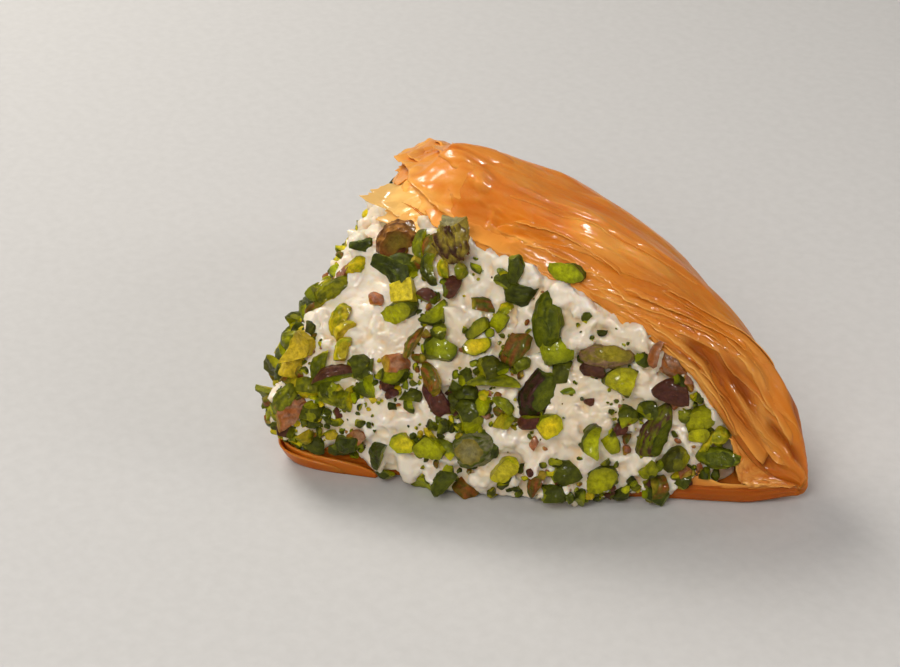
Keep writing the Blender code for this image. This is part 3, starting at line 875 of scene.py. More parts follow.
def cream_body():
    """Points and triangles of the cream that fills the fold and swells out of its open sides."""
    x = np.linspace(CREAM_START, CREAM_END, 200)
    fold = Fold(x)
    columns = []
    for s in np.linspace(0, 1, 8)[:-1]:
        columns.append((mix(fold.foot[0], fold.front - 4.0, s), LEAF_THICKNESS / 2 + 0.6, 0.0))
    for s in np.linspace(0, 1, 110):
        columns.append((*bezier(fold.face, s), float(smooth(1.0, 0.93, s) * smooth(0.0, 0.03, s))))
    into = 0.25 - 0.40 * smooth(46, 53, x) - 0.60 * smooth(12, 6, x) * smooth(-60, -52, x)
    for t in np.linspace(0.97, 0.05, 20):
        outer, roof = bezier(fold.outer, t), bezier(fold.roof, t)
        columns.append((mix(roof[0], outer[0], into), mix(roof[1], outer[1], into), 0.0))
    d, z, shown = (np.stack([np.broadcast_to(c[i], x.shape) for c in columns], axis=1) for i in range(3))
    middle = Fold(np.broadcast_to(x[:, None], d.shape)).place(d, z, scaled=False)
    normal = ring_normals(middle)
    if normal[100, 60, 1] > 0:
        normal = -normal
    px, py, pz = middle[..., 0], middle[..., 1], middle[..., 2]
    height = 1.25 * noise(px * 0.075, py * 0.075, pz * 0.075 + 3.0)
    height = height + 0.8 * noise(px * 0.17, py * 0.17 + 4.0, pz * 0.17)
    tight = 2.4 * smooth(46, 54, x)[:, None] * smooth(0.6 * fold.inner_top, fold.inner_top, z.T).T
    for far, along, low, high in (
        (5.0, smooth(0, -8, x) * smooth(-44, -24, x), 0.5, 0.9),
        (1.8, smooth(11, 6, x) * smooth(-8, -2, x), 0.84, 0.95),
    ):
        tight = tight + far * along[:, None] * smooth(low * fold.inner_top, high * fold.inner_top, z.T).T
    points = middle + normal * ((height - 0.8 - tight) * shown)[..., None]
    points[..., 2] = np.maximum(points[..., 2], 0.3)
    quads = tube_faces(*d.shape)
    return points.reshape(-1, 3), np.concatenate([quads[:, [0, 1, 2]], quads[:, [0, 2, 3]]])


def curd_places(draw):
    """Where curds lie on the cream: x, share, size and lift of each."""
    for x, share, size in CREAM_LUMPS:
        for _ in range(3):
            spread = 0.9 * size
            yield x + draw.normal() * spread, min(share + draw.normal() * 0.02, 1.0), size * 0.75, 0.1
    for _ in range(LUMP_TRIES):
        x = draw.uniform(-50, 54.5)
        share = draw.uniform(0.02, 0.985)
        size = draw.choice((0.8, 1.3, 2.0, 2.8), p=(0.34, 0.32, 0.20, 0.14)) * draw.uniform(0.8, 1.25)
        calm = smooth(8, 3, abs(x - 6)) * smooth(0.22, 0.1, abs(share - 0.70))
        if draw.uniform() < 0.8 * calm or (x > 49 and share > 0.84) or (-30 < x < 8 and share > 0.86):
            continue
        yield x, share, size, -0.75 * size + draw.uniform(-0.5, 0.35)


def curd(draw, ball, seed, x, share, size, lift):
    """Points of one curd: a bumpy ball, stretched and turned, on the cream's face."""
    here, _, _, out = face_frame(x, share)
    stretch = size * draw.uniform((1.0, 0.75, 0.5), (1.8, 1.2, 0.9))
    bx, by, bz = ball.T
    shape = ball * (1 + 0.38 * noise(bx * 1.4 + seed * 0.37, by * 1.4, bz * 1.4))[:, None]
    centre = here + out * (lift + 1.1 * noise(here[0] * 0.075, here[1] * 0.075, here[2] * 0.075 + 3.0))
    points = (shape * stretch) @ turned(draw) + centre
    points[:, 2] = np.maximum(points[:, 2], 0.25)
    return points


def remeshed(rough):
    """One even mesh over the outside of a rough one, which is removed."""
    shaping = add_object("cream_rough", rough)
    remesh = shaping.modifiers.new("skin", "REMESH")
    remesh.mode = "VOXEL"
    remesh.voxel_size = VOXEL * MM
    soften = shaping.modifiers.new("soften", "SMOOTH")
    soften.factor = 0.5
    soften.iterations = 1
    evaluated = shaping.evaluated_get(bpy.context.evaluated_depsgraph_get())
    mesh = bpy.data.meshes.new_from_object(evaluated)
    bpy.data.objects.remove(shaping)
    bpy.data.meshes.remove(rough)
    return mesh


def tear(mesh):
    """Breaks the cream's surface up, and tones it by how hollow or raised each place is, as painted shade in
    the hollows.
    """
    points = read_vectors(mesh.vertices, "co") / MM
    normals = read_vectors(mesh.vertex_normals, "vector")
    px, py, pz = points.T
    bend = noise(px * 0.5, py * 0.5, pz * 0.5)
    soft = np.abs(noise(px * 0.33 + 0.5 * bend, py * 0.33, pz * 0.33)) ** 0.8
    curds = np.abs(noise(px * 0.85, py * 0.85 + 0.5 * bend, pz * 0.85)) ** 0.8
    torn = 0.55 * soft + 0.34 * curds - 0.30
    points = points + normals * torn[:, None]
    points[:, 2] = np.maximum(points[:, 2], 0.2)
    mesh.vertices.foreach_set("co", (points * MM).astype(np.float32).ravel())
    mesh.update()
    hollow = hollowness(mesh, points)
    # Painted shade: the hollows get the tone that the material turns warmer and darker; how raised a place
    # is, is stored too
    tone = tone_of(smooth(0.0, 0.55, hollow), smooth(0.0, -0.5, hollow))
    layer = mesh.attributes.new("tone", "FLOAT_COLOR", "POINT")
    layer.data.foreach_set("color", tone.astype(np.float32).ravel())
    mesh.shade_smooth()


def hollowness(mesh, points):
    """How far each place lies below the average around it, over a widening neighbourhood."""
    n = len(points)
    edges = np.empty(len(mesh.edges) * 2, np.int32)
    mesh.edges.foreach_get("vertices", edges)
    edges = edges.reshape(-1, 2)
    around = points.copy()
    weight = np.bincount(edges.ravel(), minlength=n)[:, None]
    for _ in range(14):
        near = np.zeros_like(around)
        for axis in range(3):
            near[:, axis] = np.bincount(edges[:, 0], around[edges[:, 1], axis], n)
            near[:, axis] += np.bincount(edges[:, 1], around[edges[:, 0], axis], n)
        around = 0.3 * around + 0.7 * near / weight
    return ((around - points) * read_vectors(mesh.vertex_normals, "vector")).sum(axis=1)


def build_cream():
    """Clotted cream: its body, covered in torn curds."""
    draw = np.random.default_rng(77)
    points, faces = cream_body()
    all_points, all_faces, total = [points], [faces], len(points)
    ball, ball_faces = sphere(2)
    for place in curd_places(draw):
        all_points.append(curd(draw, ball, total, *place))
        all_faces.append(ball_faces + total)
        total += len(ball)
    mesh = remeshed(make_mesh("cream_rough", np.concatenate(all_points), np.concatenate(all_faces)))
    tear(mesh)
    mesh.name = "cream_clotted"
    return add_object("cream_clotted", mesh)


# ---------------------------------------------------------------- pistachios

def ball_with_edges(level):
    ways, faces = sphere(level)
    pairs = np.sort(np.concatenate([faces[:, :2], faces[:, 1:], faces[:, ::2]]), axis=1)
    return ways, faces, np.unique(pairs, axis=0)


BALLS = {level: ball_with_edges(level) for level in (1, 2, 3, 4, 5)}


def reaches(ways, radii, centre, cuts, uneven):
    """How far from the centre the skin lies in each direction, and then each cut."""
    a = ((ways / radii) ** 2).sum(axis=1)
    b = (ways * centre / radii**2).sum(axis=1)
    c = ((centre / radii) ** 2).sum() - 1
    way_x, way_y, way_z = ways.T * 1.7
    wobble = noise(way_x + centre[0] * 9, way_y + centre[1] * 7, way_z + radii[2] * 5)
    found = [(-b + np.sqrt(b * b - a * c)) / a * (1 + uneven * wobble)]
    for number, (direction, distance, hollow) in enumerate(cuts):
        flat = distance / np.maximum(ways @ unit(np.asarray(direction, float)), 1e-3)
        aside = (flat**2 - distance**2) / (0.6 * radii.max()) ** 2
        broken = noise(way_x * 1.5 + number * 4.3, way_y * 1.5, way_z * 1.5 + radii[0])
        found.append(flat * (1 - hollow * np.exp(-np.clip(aside, 0, 40)) + 0.35 * uneven * broken))
    return np.stack(found)


def fragment(level, radii, centre, cuts, uneven):
    """A kernel with the given radii, seen from a centre inside it and broken along the given cuts.

    Each cut is a direction, a distance from the centre and how hollow it is. Corners are moved onto the
    edges between the skin and the cuts, which keeps those edges crisp. Gives points, triangles, which of the
    triangles and points are skin, and how far out in the kernel each point lies.
    """
    ways, faces, pairs = BALLS[level]
    radii = np.asarray(radii, float)
    centre = np.asarray(centre, float)
    i, j = pairs.T
    for _ in range(2):
        found = reaches(ways, radii, centre, cuts, uneven)
        part = found.argmin(axis=0)
        part_i, part_j = part[i], part[j]
        gap_i = found[part_j, i] - found[part_i, i]
        gap_j = found[part_i, j] - found[part_j, j]
        along = gap_i / np.maximum(gap_i + gap_j, 1e-9)
        across = part_i != part_j
        moved = np.zeros_like(ways)
        hits = np.zeros(len(ways))
        edge = ways[i] + along[:, None] * (ways[j] - ways[i])
        for chosen, end in ((across & (along < 0.5), i), (across & (along >= 0.5), j)):
            np.add.at(moved, end[chosen], edge[chosen])
            np.add.at(hits, end[chosen], 1)
        ways = np.where(hits[:, None] > 0, moved / np.maximum(hits, 1)[:, None], ways)
        ways = unit(ways)
    found = reaches(ways, radii, centre, cuts, uneven)
    points = ways * found.min(axis=0)[:, None]
    of_face = reaches(unit(ways[faces].sum(axis=1)), radii, centre, cuts, uneven).argmin(axis=0)
    depth = np.minimum(np.linalg.norm((points + centre) / radii, axis=1), 1)
    return points, faces, of_face == 0, found.argmin(axis=0) == 0, depth


def sculpt(points, is_skin, seed, grain):
    """Wrinkles along a kernel's skin and a grain on its broken faces."""
    px, py, pz = points.T
    creases = noise(px * 0.25 + seed, py * 1.3, pz * 1.3) + 0.6 * noise(px * 0.6, py * 2.8 + seed, pz * 2.8)
    lumps = noise(px * 0.45, py * 0.45, pz * 0.45 + seed)
    broken = 0.5 * noise(px * 1.1 + seed, py * 1.1, pz * 1.1)
    broken = broken + 0.35 * noise(px * 2.8, py * 2.8, pz * 2.8 + seed)
    high = grain * (np.where(is_skin, 0.17 * creases, 0.16 * broken) + 0.12 * lumps)
    return points + unit(points) * high[:, None], creases, broken


# Colours of the kernels' flesh and skin
LIME = np.array((0.50, 0.42, 0.010))
YELLOW = np.array((0.61, 0.50, 0.03))
LEAF = np.array((0.150, 0.168, 0.001))
MOSS = np.array((0.054, 0.066, 0.001))
DARK_GREEN = np.array((0.022, 0.027, 0.001))
OLIVE = np.array((0.22, 0.165, 0.018))
TAN = np.array((0.34, 0.15, 0.03))
BROWN = np.array((0.17, 0.055, 0.012))
UMBER = np.array((0.06, 0.022, 0.010))
PURPLE = np.array((0.055, 0.018, 0.014))
MAUVE = np.array((0.26, 0.14, 0.09))
GREY_GREEN = np.array((0.26, 0.24, 0.12))


def paint(faces, face_is_skin, depth, creases, broken, flesh, rind, skins):
    """Colours of the triangles' corners: flesh, a rind near the skin, and a streaky skin of two colours."""
    outside = mix(skins[0], skins[1], np.clip(0.5 + 1.3 * creases, 0, 1)[:, None])
    inside = mix(flesh, rind, np.clip(depth**3 + 0.35 * broken, 0, 1)[:, None])
    colours = np.where(face_is_skin[:, None, None], outside[faces], inside[faces])
    return np.clip(colours.reshape(-1, 3), 0.003, 1)


class Bits:
    """Many fragments joined into one mesh, with a colour for each triangle's corner."""

    def __init__(self):
        self.points = []
        self.faces = []
        self.colours = []
        self.count = 0

    def add(self, points, faces, colours):
        self.points.append(points)
        self.faces.append(faces + self.count)
        self.colours.append(colours)
        self.count += len(points)

    def build(self, name):
        points, faces, colours = (np.concatenate(v) for v in (self.points, self.faces, self.colours))
        thing = make_object(name, points, faces, [("shade", colours)])
        thing.data.set_sharp_from_angle(angle=math.radians(30))
        return thing


class Surface:
    """The cream as it turned out, to press nuts into."""

    def __init__(self, thing):
        mesh = thing.data
        points = read_vectors(mesh.vertices, "co") / MM
        self.tree = BVHTree.FromPolygons(points.tolist(), [tuple(face.vertices) for face in mesh.polygons])

    def find(self, x, share):
        """A place on the cream, the ways along, up and out of it, and how far it is off the smooth face."""
        here, side, up, out = face_frame(x, share)
        hits = []
        for a, b in ((0, 0), (1.3, 0), (-1.3, 0), (0, 1.3), (0, -1.3)):
            start = here + side * a + up * b + out * 9
            hit = self.tree.ray_cast(Vector(start), Vector(-out), 20)
            hits.append(np.array(hit[0]) if hit[0] else here + side * a + up * b)
        level = sum(hits) / 5
        lay = unit(np.cross(hits[1] - hits[2], hits[3] - hits[4]))
        lay = unit(0.6 * lay * (1 if lay @ out > 0 else -1) + 0.4 * out)
        side = unit(np.cross(up, lay))
        return level, side, np.cross(lay, side), lay, float((level - here) @ out)


# Nothing strewn on the cream stands out further than this
FRONT_LIMIT = -42.6


def lay(points, place, side, up, out, turn, tilt, roll, lift):
    """Turns a fragment by angles in degrees about the way out, then tilts it, and puts it down."""
    turn, tilt, roll = (math.radians(v) for v in (turn, tilt, roll))
    tilting = Matrix.Rotation(tilt, 3, "Y") @ Matrix.Rotation(roll, 3, "X")
    spin = Matrix.Rotation(turn, 3, "Z")
    local = points @ np.array(spin @ tilting).T
    placed = place + local @ np.stack([side, up, out]) + out * lift
    placed[:, 1] += max(FRONT_LIMIT - placed[:, 1].min(), 0)
    placed[:, 2] = np.maximum(placed[:, 2], 0.05)
    return placed


# Kernels big enough to be pieces of their own: node, x, share, turn, length, width, thickness, depth
HALVES = (
    ("pistachio_half_brown", 6.0, 0.91, 38, 11.0, 7.6, 5.4, 0.25),
    ("pistachio_half_standing", 18.5, 0.97, -58, 10.6, 7.2, 4.2, -0.15),
    ("pistachio_half_high", 34.6, 0.85, 110, 11.0, 5.6, 4.2, 0.20),
    ("pistachio_half_middle", 37.0, 0.56, 78, 11.8, 6.2, 4.6, 0.30),
    ("pistachio_half_olive", 43.0, 0.82, 28, 10.4, 4.8, 3.8, 0.30),
    ("pistachio_half_long", 50.6, 0.49, 82, 12.5, 5.0, 4.2, 0.25),
    ("pistachio_half_end", 57.2, 0.55, 36, 8.6, 4.2, 3.6, 0.20),
    ("pistachio_round_low", 31.2, 0.25, 30, 8.6, 7.6, 5.0, 0.35),
)
# Their skin's two colours, flesh, rind, how deep the wrinkles are, and their breaks: direction, distance as a
# part of their size, and how hollow
HALF_LOOKS = {
    "pistachio_half_brown": (
        TAN, BROWN * 0.6, OLIVE, BROWN, 1.2,
        [((1, 0.4, 0.5), 0.80, 0.2), ((0.1, -0.9, 0.8), 0.62, 0.5)]),
    "pistachio_half_standing": (
        OLIVE * 1.5, UMBER, GREY_GREEN, OLIVE, 3.6,
        [((-1, 0.3, 0.5), 0.60, 0.3), ((-0.7, -1, 0.4), 0.62, 0.2)]),
    "pistachio_half_high": (MOSS * 1.2, LEAF * 0.8, LEAF * 1.2, MOSS, 1.2, [((-0.4, 0.6, 1), 0.52, 0)]),
    "pistachio_half_middle": (
        DARK_GREEN, PURPLE, LEAF, MOSS, 1.6,
        [((0.1, -0.7, 1), 0.50, 0.1), ((1, 0.2, 0.5), 0.68, 0)]),
    "pistachio_half_olive": (OLIVE, MAUVE * 0.9, LIME * 0.7, OLIVE, 1.5, [((0.2, 0.5, 1), 0.50, 0.1)]),
    "pistachio_half_long": (LEAF, PURPLE * 1.3, LEAF * 1.2, MOSS, 1.8, [((0, -0.6, 1), 0.46, 0)]),
    "pistachio_half_end": (MOSS * 1.2, LEAF, LEAF * 1.2, MOSS, 1.3, [((0, 0.5, 1), 0.48, 0)]),
    "pistachio_round_low": (
        GREY_GREEN * 0.8, MOSS * 1.3, GREY_GREEN, OLIVE, 1.8,
        [((-0.2, 0.2, 1), 0.46, 0.15)]),
}


# The standing half leans on the lip, above the cream
STANDING_LIFT = np.array((0, -0.8, 2.8))


def build_half(name, x, share, turn, length, width, thickness, depth, surface):
    """One half kernel: a wrinkled dome of skin over the split face, which is pressed into the cream."""
    skin_a, skin_b, flesh, rind, grain, breaks = HALF_LOOKS[name]
    radii = np.array((length / 2, width / 2, 0.72 * thickness))
    cuts = [((0, 0, -1), 0.30 * thickness, 0)]
    for direction, distance, hollow in breaks:
        reach = np.linalg.norm(unit(np.array(direction, float)) * radii)
        cuts.append((direction, distance * reach, hollow))
    points, faces, face_is_skin, is_skin, inside = fragment(5, radii, (0, 0, 0.25 * thickness), cuts, 0.14)
    points = points * (1 - 0.25 * points[:, :1] / length * np.array((0, 1, 0)))
    points, creases, broken = sculpt(points, is_skin, x * 1.7, grain)
    off = surface.find(x, share)[4]
    here, side, up, out = face_frame(x, share)
    if "standing" in name:
        here = here + STANDING_LIFT
    colours = paint(faces, face_is_skin, inside, creases, broken, flesh, rind, (skin_a, skin_b))
    lift = thickness * (0.45 - depth) + np.clip(off, -0.6, 0.9)
    placed = lay(points, here, side, up, out, turn, 0, 0, lift)
    piece = Bits()
    piece.add(placed, faces, colours)
    return piece.build(name.replace("pistachio_", "kernel_"))


# Chopped pieces that stand out: kind, x, share, turn, length, width, thickness, roll
HEROES = (
    ("lime chunk", 12.0, 0.94, 112, 5.8, 3.4, 3.0, 0),
    ("olive chunk", 14.0, 0.94, 100, 5.0, 3.4, 3.0, 10),
    ("purple sliver", 8.4, 0.86, 110, 4.2, 2.2, 1.6, 30),
    ("moss chunk", 11.4, 0.86, 20, 5.4, 3.8, 3.2, 0),
    ("moss petal", 10.0, 0.81, -6, 11.0, 4.6, 3.2, 30),
    ("moss petal", 15.6, 0.87, 108, 7.2, 3.0, 3.0, -50),
    ("purple chunk", 19.8, 0.85, 60, 3.6, 3.4, 3.2, 0),
    ("yellow cube", 14.0, 0.76, 32, 4.9, 4.3, 4.2, 0),
    ("leaf slice", 13.5, 0.69, 32, 11.5, 3.8, 1.8, 30),
    ("moss slice", 20.0, 0.73, 40, 6.4, 4.2, 2.4, 10),
    ("brown chunk", 9.0, 0.71, 0, 3.0, 2.4, 2.0, 0),
    ("brown chunk", 11.6, 0.77, 60, 3.0, 2.0, 2.2, 0),
    ("purple chunk", 17.0, 0.78, 10, 4.0, 2.8, 2.6, 0),
    ("olive chunk", 25.3, 0.81, 20, 5.6, 3.0, 2.2, 20),
    ("yellow chunk", 28.5, 0.82, 100, 3.0, 2.4, 2.0, 0),
    ("leaf chunk", 27.5, 0.93, 20, 3.6, 3.2, 2.8, 0),
    ("moss petal", 28.3, 0.98, 115, 6.4, 3.2, 2.6, 20),
    ("moss petal", 29.8, 0.90, 20, 6.8, 4.8, 2.6, 0),
    ("moss slice", 26.5, 0.72, 60, 5.6, 3.2, 2.0, 0),
    ("leaf slice", 28.6, 0.77, 70, 5.6, 3.0, 2.0, 0),
    ("moss slice", 22.0, 0.61, 40, 6.0, 5.4, 2.8, 0),
    ("olive petal", 32.0, 0.68, 78, 8.4, 4.6, 2.8, 0),
    ("lime slice", 27.0, 0.66, 30, 5.2, 3.2, 2.4, 0),
    ("leaf chunk", 29.5, 0.61, 60, 4.4, 3.8, 3.0, 0),
    ("lime chunk", 33.5, 0.655, 30, 3.2, 3.0, 2.6, 0),
    ("moss slice", 37.0, 0.735, 28, 8.6, 4.8, 2.4, 0),
    ("leaf chunk", 38.6, 0.68, 100, 4.4, 3.6, 3.0, 0),
    ("purple petal", 42.3, 0.74, 20, 5.0, 3.8, 2.8, 0),
    ("leaf slice", 46.0, 0.745, 24, 7.4, 5.2, 3.2, 0),
    ("brown sliver", 48.0, 0.99, 100, 5.0, 2.2, 1.6, 0),
    ("brown sliver", 50.0, 0.99, -12, 11.0, 3.6, 1.8, 20),
    ("leaf chunk", 47.5, 0.92, 0, 2.8, 2.2, 2.0, 0),
    ("purple sliver", 51.0, 0.85, 22, 6.8, 3.8, 2.8, 15),
    ("leaf chunk", 54.0, 0.95, 60, 3.0, 2.0, 2.0, 0),
    ("lime sliver", 31.0, 0.55, 18, 9.0, 2.8, 2.4, 0),
    ("olive petal", 23.3, 0.50, -35, 9.5, 4.2, 3.4, 20),
    ("purple petal", 24.6, 0.43, -50, 8.0, 4.2, 3.0, 0),
    ("leaf chunk", 29.5, 0.43, 30, 6.0, 5.4, 3.6, 0),
    ("moss chunk", 27.6, 0.49, 60, 4.0, 3.4, 3.0, 0),
    ("leaf slice", 31.0, 0.46, 80, 4.6, 3.0, 2.2, 0),
    ("lime slice", 39.5, 0.43, 40, 5.6, 4.6, 2.6, 0),
    ("lime sliver", 33.5, 0.48, -33, 5.2, 2.2, 2.0, 0),
    ("moss chunk", 26.5, 0.335, 0, 2.8, 2.7, 2.4, 0),
    ("lime slice", 21.5, 0.22, 20, 5.2, 4.2, 2.4, 0),
    ("leaf slice", 25.5, 0.23, 10, 6.0, 4.4, 2.6, 0),
    ("moss sliver", 17.5, 0.14, 65, 6.6, 3.4, 2.6, 0),
    ("leaf slice", 24.4, 0.03, 22, 6.4, 5.4, 2.6, 0),
    ("leaf sliver", 26.6, 0.10, 40, 5.4, 3.0, 2.4, 0),
    ("yellow slice", 35.0, 0.18, 40, 6.0, 4.0, 2.4, 0),
    ("olive sliver", 39.0, 0.12, 85, 7.0, 2.8, 2.4, 0),
    ("leaf chunk", 41.5, 0.10, 20, 5.0, 3.6, 3.0, 0),
    ("purple sliver", 8.0, 0.43, 26, 10.5, 3.2, 2.4, 0),
    ("leaf petal", 8.5, 0.36, -10, 10.0, 4.6, 3.2, 20),
    ("lime chunk", 5.0, 0.36, 10, 4.4, 3.6, 3.0, 0),
    ("yellow chunk", 7.5, 0.52, 110, 4.6, 3.4, 3.0, 0),
    ("leaf chunk", 11.0, 0.49, 30, 4.2, 3.6, 3.0, 0),
    ("leaf chunk", 12.6, 0.46, 90, 5.0, 3.4, 3.0, 0),
    ("brown chunk", 16.4, 0.52, 20, 5.6, 3.4, 2.8, 0),
    ("moss slice", 17.0, 0.48, 20, 5.6, 3.4, 2.2, 0),
    ("olive sliver", 18.0, 0.60, 88, 8.0, 2.4, 2.2, 0),
    ("yellow slice", 1.0, 0.50, 60, 8.4, 5.0, 2.6, 0),
    ("yellow slice", -0.5, 0.42, 30, 6.4, 4.6, 2.6, 0),
    ("brown chunk", 2.5, 0.25, 20, 7.0, 5.0, 3.6, 0),
    ("leaf chunk", 6.0, 0.25, 60, 3.6, 3.0, 2.4, 0),
    ("moss petal", 12.5, 0.14, 50, 6.6, 4.0, 3.0, 0),
    ("brown chunk", 13.6, 0.18, 30, 3.2, 2.6, 2.4, 0),
    ("leaf chunk", 5.5, 0.06, 0, 4.4, 3.6, 2.8, 0),
    ("moss petal", -3.0, 0.36, 0, 6.5, 4.4, 3.2, 20),
    ("leaf chunk", 47.6, 0.60, 20, 4.0, 3.4, 3.0, 0),
    ("leaf chunk", 49.4, 0.64, 70, 4.4, 3.4, 3.0, 0),
    ("leaf slice", 54.6, 0.78, 110, 7.2, 5.0, 3.0, 0),
    ("leaf slice", 54.4, 0.60, 40, 4.4, 3.0, 2.2, 0),
    ("yellow sliver", 55.3, 0.55, 100, 6.5, 1.3, 1.2, 0),
    ("lime chunk", 53.0, 0.70, 40, 3.0, 2.2, 1.8, 0),
    ("moss chunk", 52.6, 0.34, 60, 4.4, 3.8, 3.2, 0),
    ("brown chunk", 51.8, 0.74, 90, 2.2, 1.6, 1.4, 0),
    ("brown chunk", 48.6, 0.36, 20, 2.0, 1.6, 1.4, 0),
    ("olive chunk", 51.5, 0.08, 20, 4.8, 3.6, 3.0, 0),
    ("leaf chunk", 53.5, 0.10, 80, 3.6, 2.6, 2.2, 0),
    ("leaf slice", 45.0, 0.42, 92, 7.4, 3.6, 2.4, 0),
    ("leaf slice", 47.0, 0.41, 120, 4.6, 3.0, 2.2, 0),
    ("purple chunk", 47.2, 0.50, 60, 3.0, 2.4, 2.0, 0),
    ("leaf slice", 46.8, 0.16, 30, 6.5, 4.5, 2.6, 0),
    ("leaf chunk", 43.0, 0.20, 30, 5.6, 4.4, 3.2, 0),
    ("moss chunk", 51.0, 0.02, 20, 5.6, 4.4, 3.4, 0),
    ("moss chunk", 48.0, 0.02, 60, 4.6, 3.6, 3.0, 0),
    ("lime petal", -2.0, 0.66, 96, 10.0, 4.0, 3.0, 40),
    ("moss petal", -4.5, 0.60, 60, 8.0, 5.0, 3.6, 30),
    ("lime petal", -4.0, 0.46, 40, 6.6, 5.0, 3.6, 30),
    ("moss petal", -7.5, 0.42, 20, 7.0, 5.0, 3.6, 30),
    ("yellow petal", 0.6, 0.78, 80, 6.0, 3.0, 2.4, 30),
    ("moss petal", 0.0, 0.84, 60, 6.0, 2.6, 2.0, 30),
    ("brown petal", -2.0, 0.74, 70, 6.5, 3.6, 2.4, 30),
    ("leaf petal", -5.5, 0.30, 40, 6.0, 4.4, 3.0, 20),
    ("lime petal", 10.5, 0.335, 12, 7.5, 4.0, 3.0, -20),
    ("moss petal", -12.0, 0.50, 30, 7.5, 5.5, 3.6, -60),
    ("leaf petal", -13.0, 0.42, 60, 9.5, 6.0, 4.0, -70),
    ("moss petal", -11.0, 0.30, 20, 9.0, 5.6, 3.6, -60),
    ("olive petal", -12.0, 0.18, 80, 9.0, 5.6, 3.6, -60),
    ("yellow petal", 9.5, 0.36, 60, 4.0, 2.6, 2.2, 0),
    ("yellow sliver", 5.4, 0.585, 70, 4.6, 3.0, 2.0, 0),
    ("lime chunk", -14.0, 0.30, 40, 6.5, 5.0, 4.6, -40),
    ("leaf chunk", -15.0, 0.10, 10, 6.0, 5.0, 4.4, -40),
    ("lime sliver", 5.0, 0.44, 96, 7.0, 3.0, 2.0, 30),
    ("yellow sliver", 3.6, 0.62, 84, 7.5, 3.0, 2.2, 30),
    ("lime sliver", 1.6, 0.30, 60, 7.0, 3.2, 2.4, 20),
    ("lime petal", -4.5, 0.20, 70, 8.0, 7.0, 3.0, 84),
    ("leaf petal", -6.5, 0.32, 30, 8.0, 7.0, 3.0, 80),
    ("moss petal", -3.0, 0.10, 80, 7.0, 6.6, 3.0, 76),
    ("olive petal", -7.5, 0.12, 50, 7.0, 6.6, 3.0, 80),
)
# Where a small piece lies on the leaf
LEAF_PIECE = np.array((29.4, 3.0, 43.0))
# The smaller pieces' lengths and how common each is, and how many places are tried
BIT_SIZES = (1.5, 2.3, 3.3, 4.4)
BIT_SHARES = (0.44, 0.34, 0.17, 0.05)
BIT_TRIES = 1000
CRUMB_TRIES = 2600
BIT_COLOURS = ("yellow", "lime", "leaf", "moss", "olive", "purple", "brown")
# How thickly the cream is strewn: x, share, reach along x, reach of the share, and how much more than usual
THICKETS = (
    (-9, 0.45, 5, 0.26, 1.6),
    (-9, 0.92, 9, 0.22, -2.4),
    (-2, 0.22, 7, 0.22, 1.2),
    (6, 0.70, 6, 0.16, -1.6),
    (-16, 0.98, 12, 0.18, -2.2),
    (-26, 0.35, 22, 0.45, 0.7),
    (1, 0.15, 6, 0.14, 1.3),
    (1, 0.46, 3, 0.12, 0.8),
    (12, 0.16, 4, 0.10, 0.7),
    (17, 0.44, 4, 0.12, 1.0),
    (28, 0.46, 6, 0.16, 1.5),
    (30, 0.66, 4, 0.08, 0.6),
    (41, 0.12, 5, 0.08, 0.8),
    (50, 0.05, 5, 0.06, 1.2),
    (48, 0.60, 4, 0.10, 0.5),
    (12, 0.85, 5, 0.07, 0.8),
)


def thickness_of_bits(x, share):
    """How thickly the pieces lie at a place on the cream."""
    total = 0.10 + 0.9 * float(noise(x * 0.13, share * 6.0, 2.0))
    total += 0.6 * float(noise(x * 0.31, share * 14.0, 6.0))
    for x_at, share_at, wide, high, more in THICKETS:
        total += more * math.exp(-(((x - x_at) / wide) ** 2) - ((share - share_at) / high) ** 2)
    return total


# The chopped pieces' flesh, rind and the skin's two colours
COLOURS = {
    "yellow": (YELLOW * 0.62, LIME * 0.5, (LIME * 0.7, LEAF)),
    "lime": (LIME * 0.9, LEAF * 1.2, (LEAF, MOSS)),
    "leaf": (LEAF * 1.7, LEAF * 0.8, (MOSS, DARK_GREEN * 1.5)),
    "moss": (LEAF * 1.3, MOSS, (DARK_GREEN, DARK_GREEN * 2)),
    "olive": (OLIVE * 1.5, MOSS, (BROWN * 0.9, MOSS)),
    "purple": (LEAF * 1.1, MOSS * 0.8, (PURPLE, UMBER)),
    "brown": (OLIVE * 1.1, BROWN, (BROWN * 1.2, MAUVE * 0.8)),
}


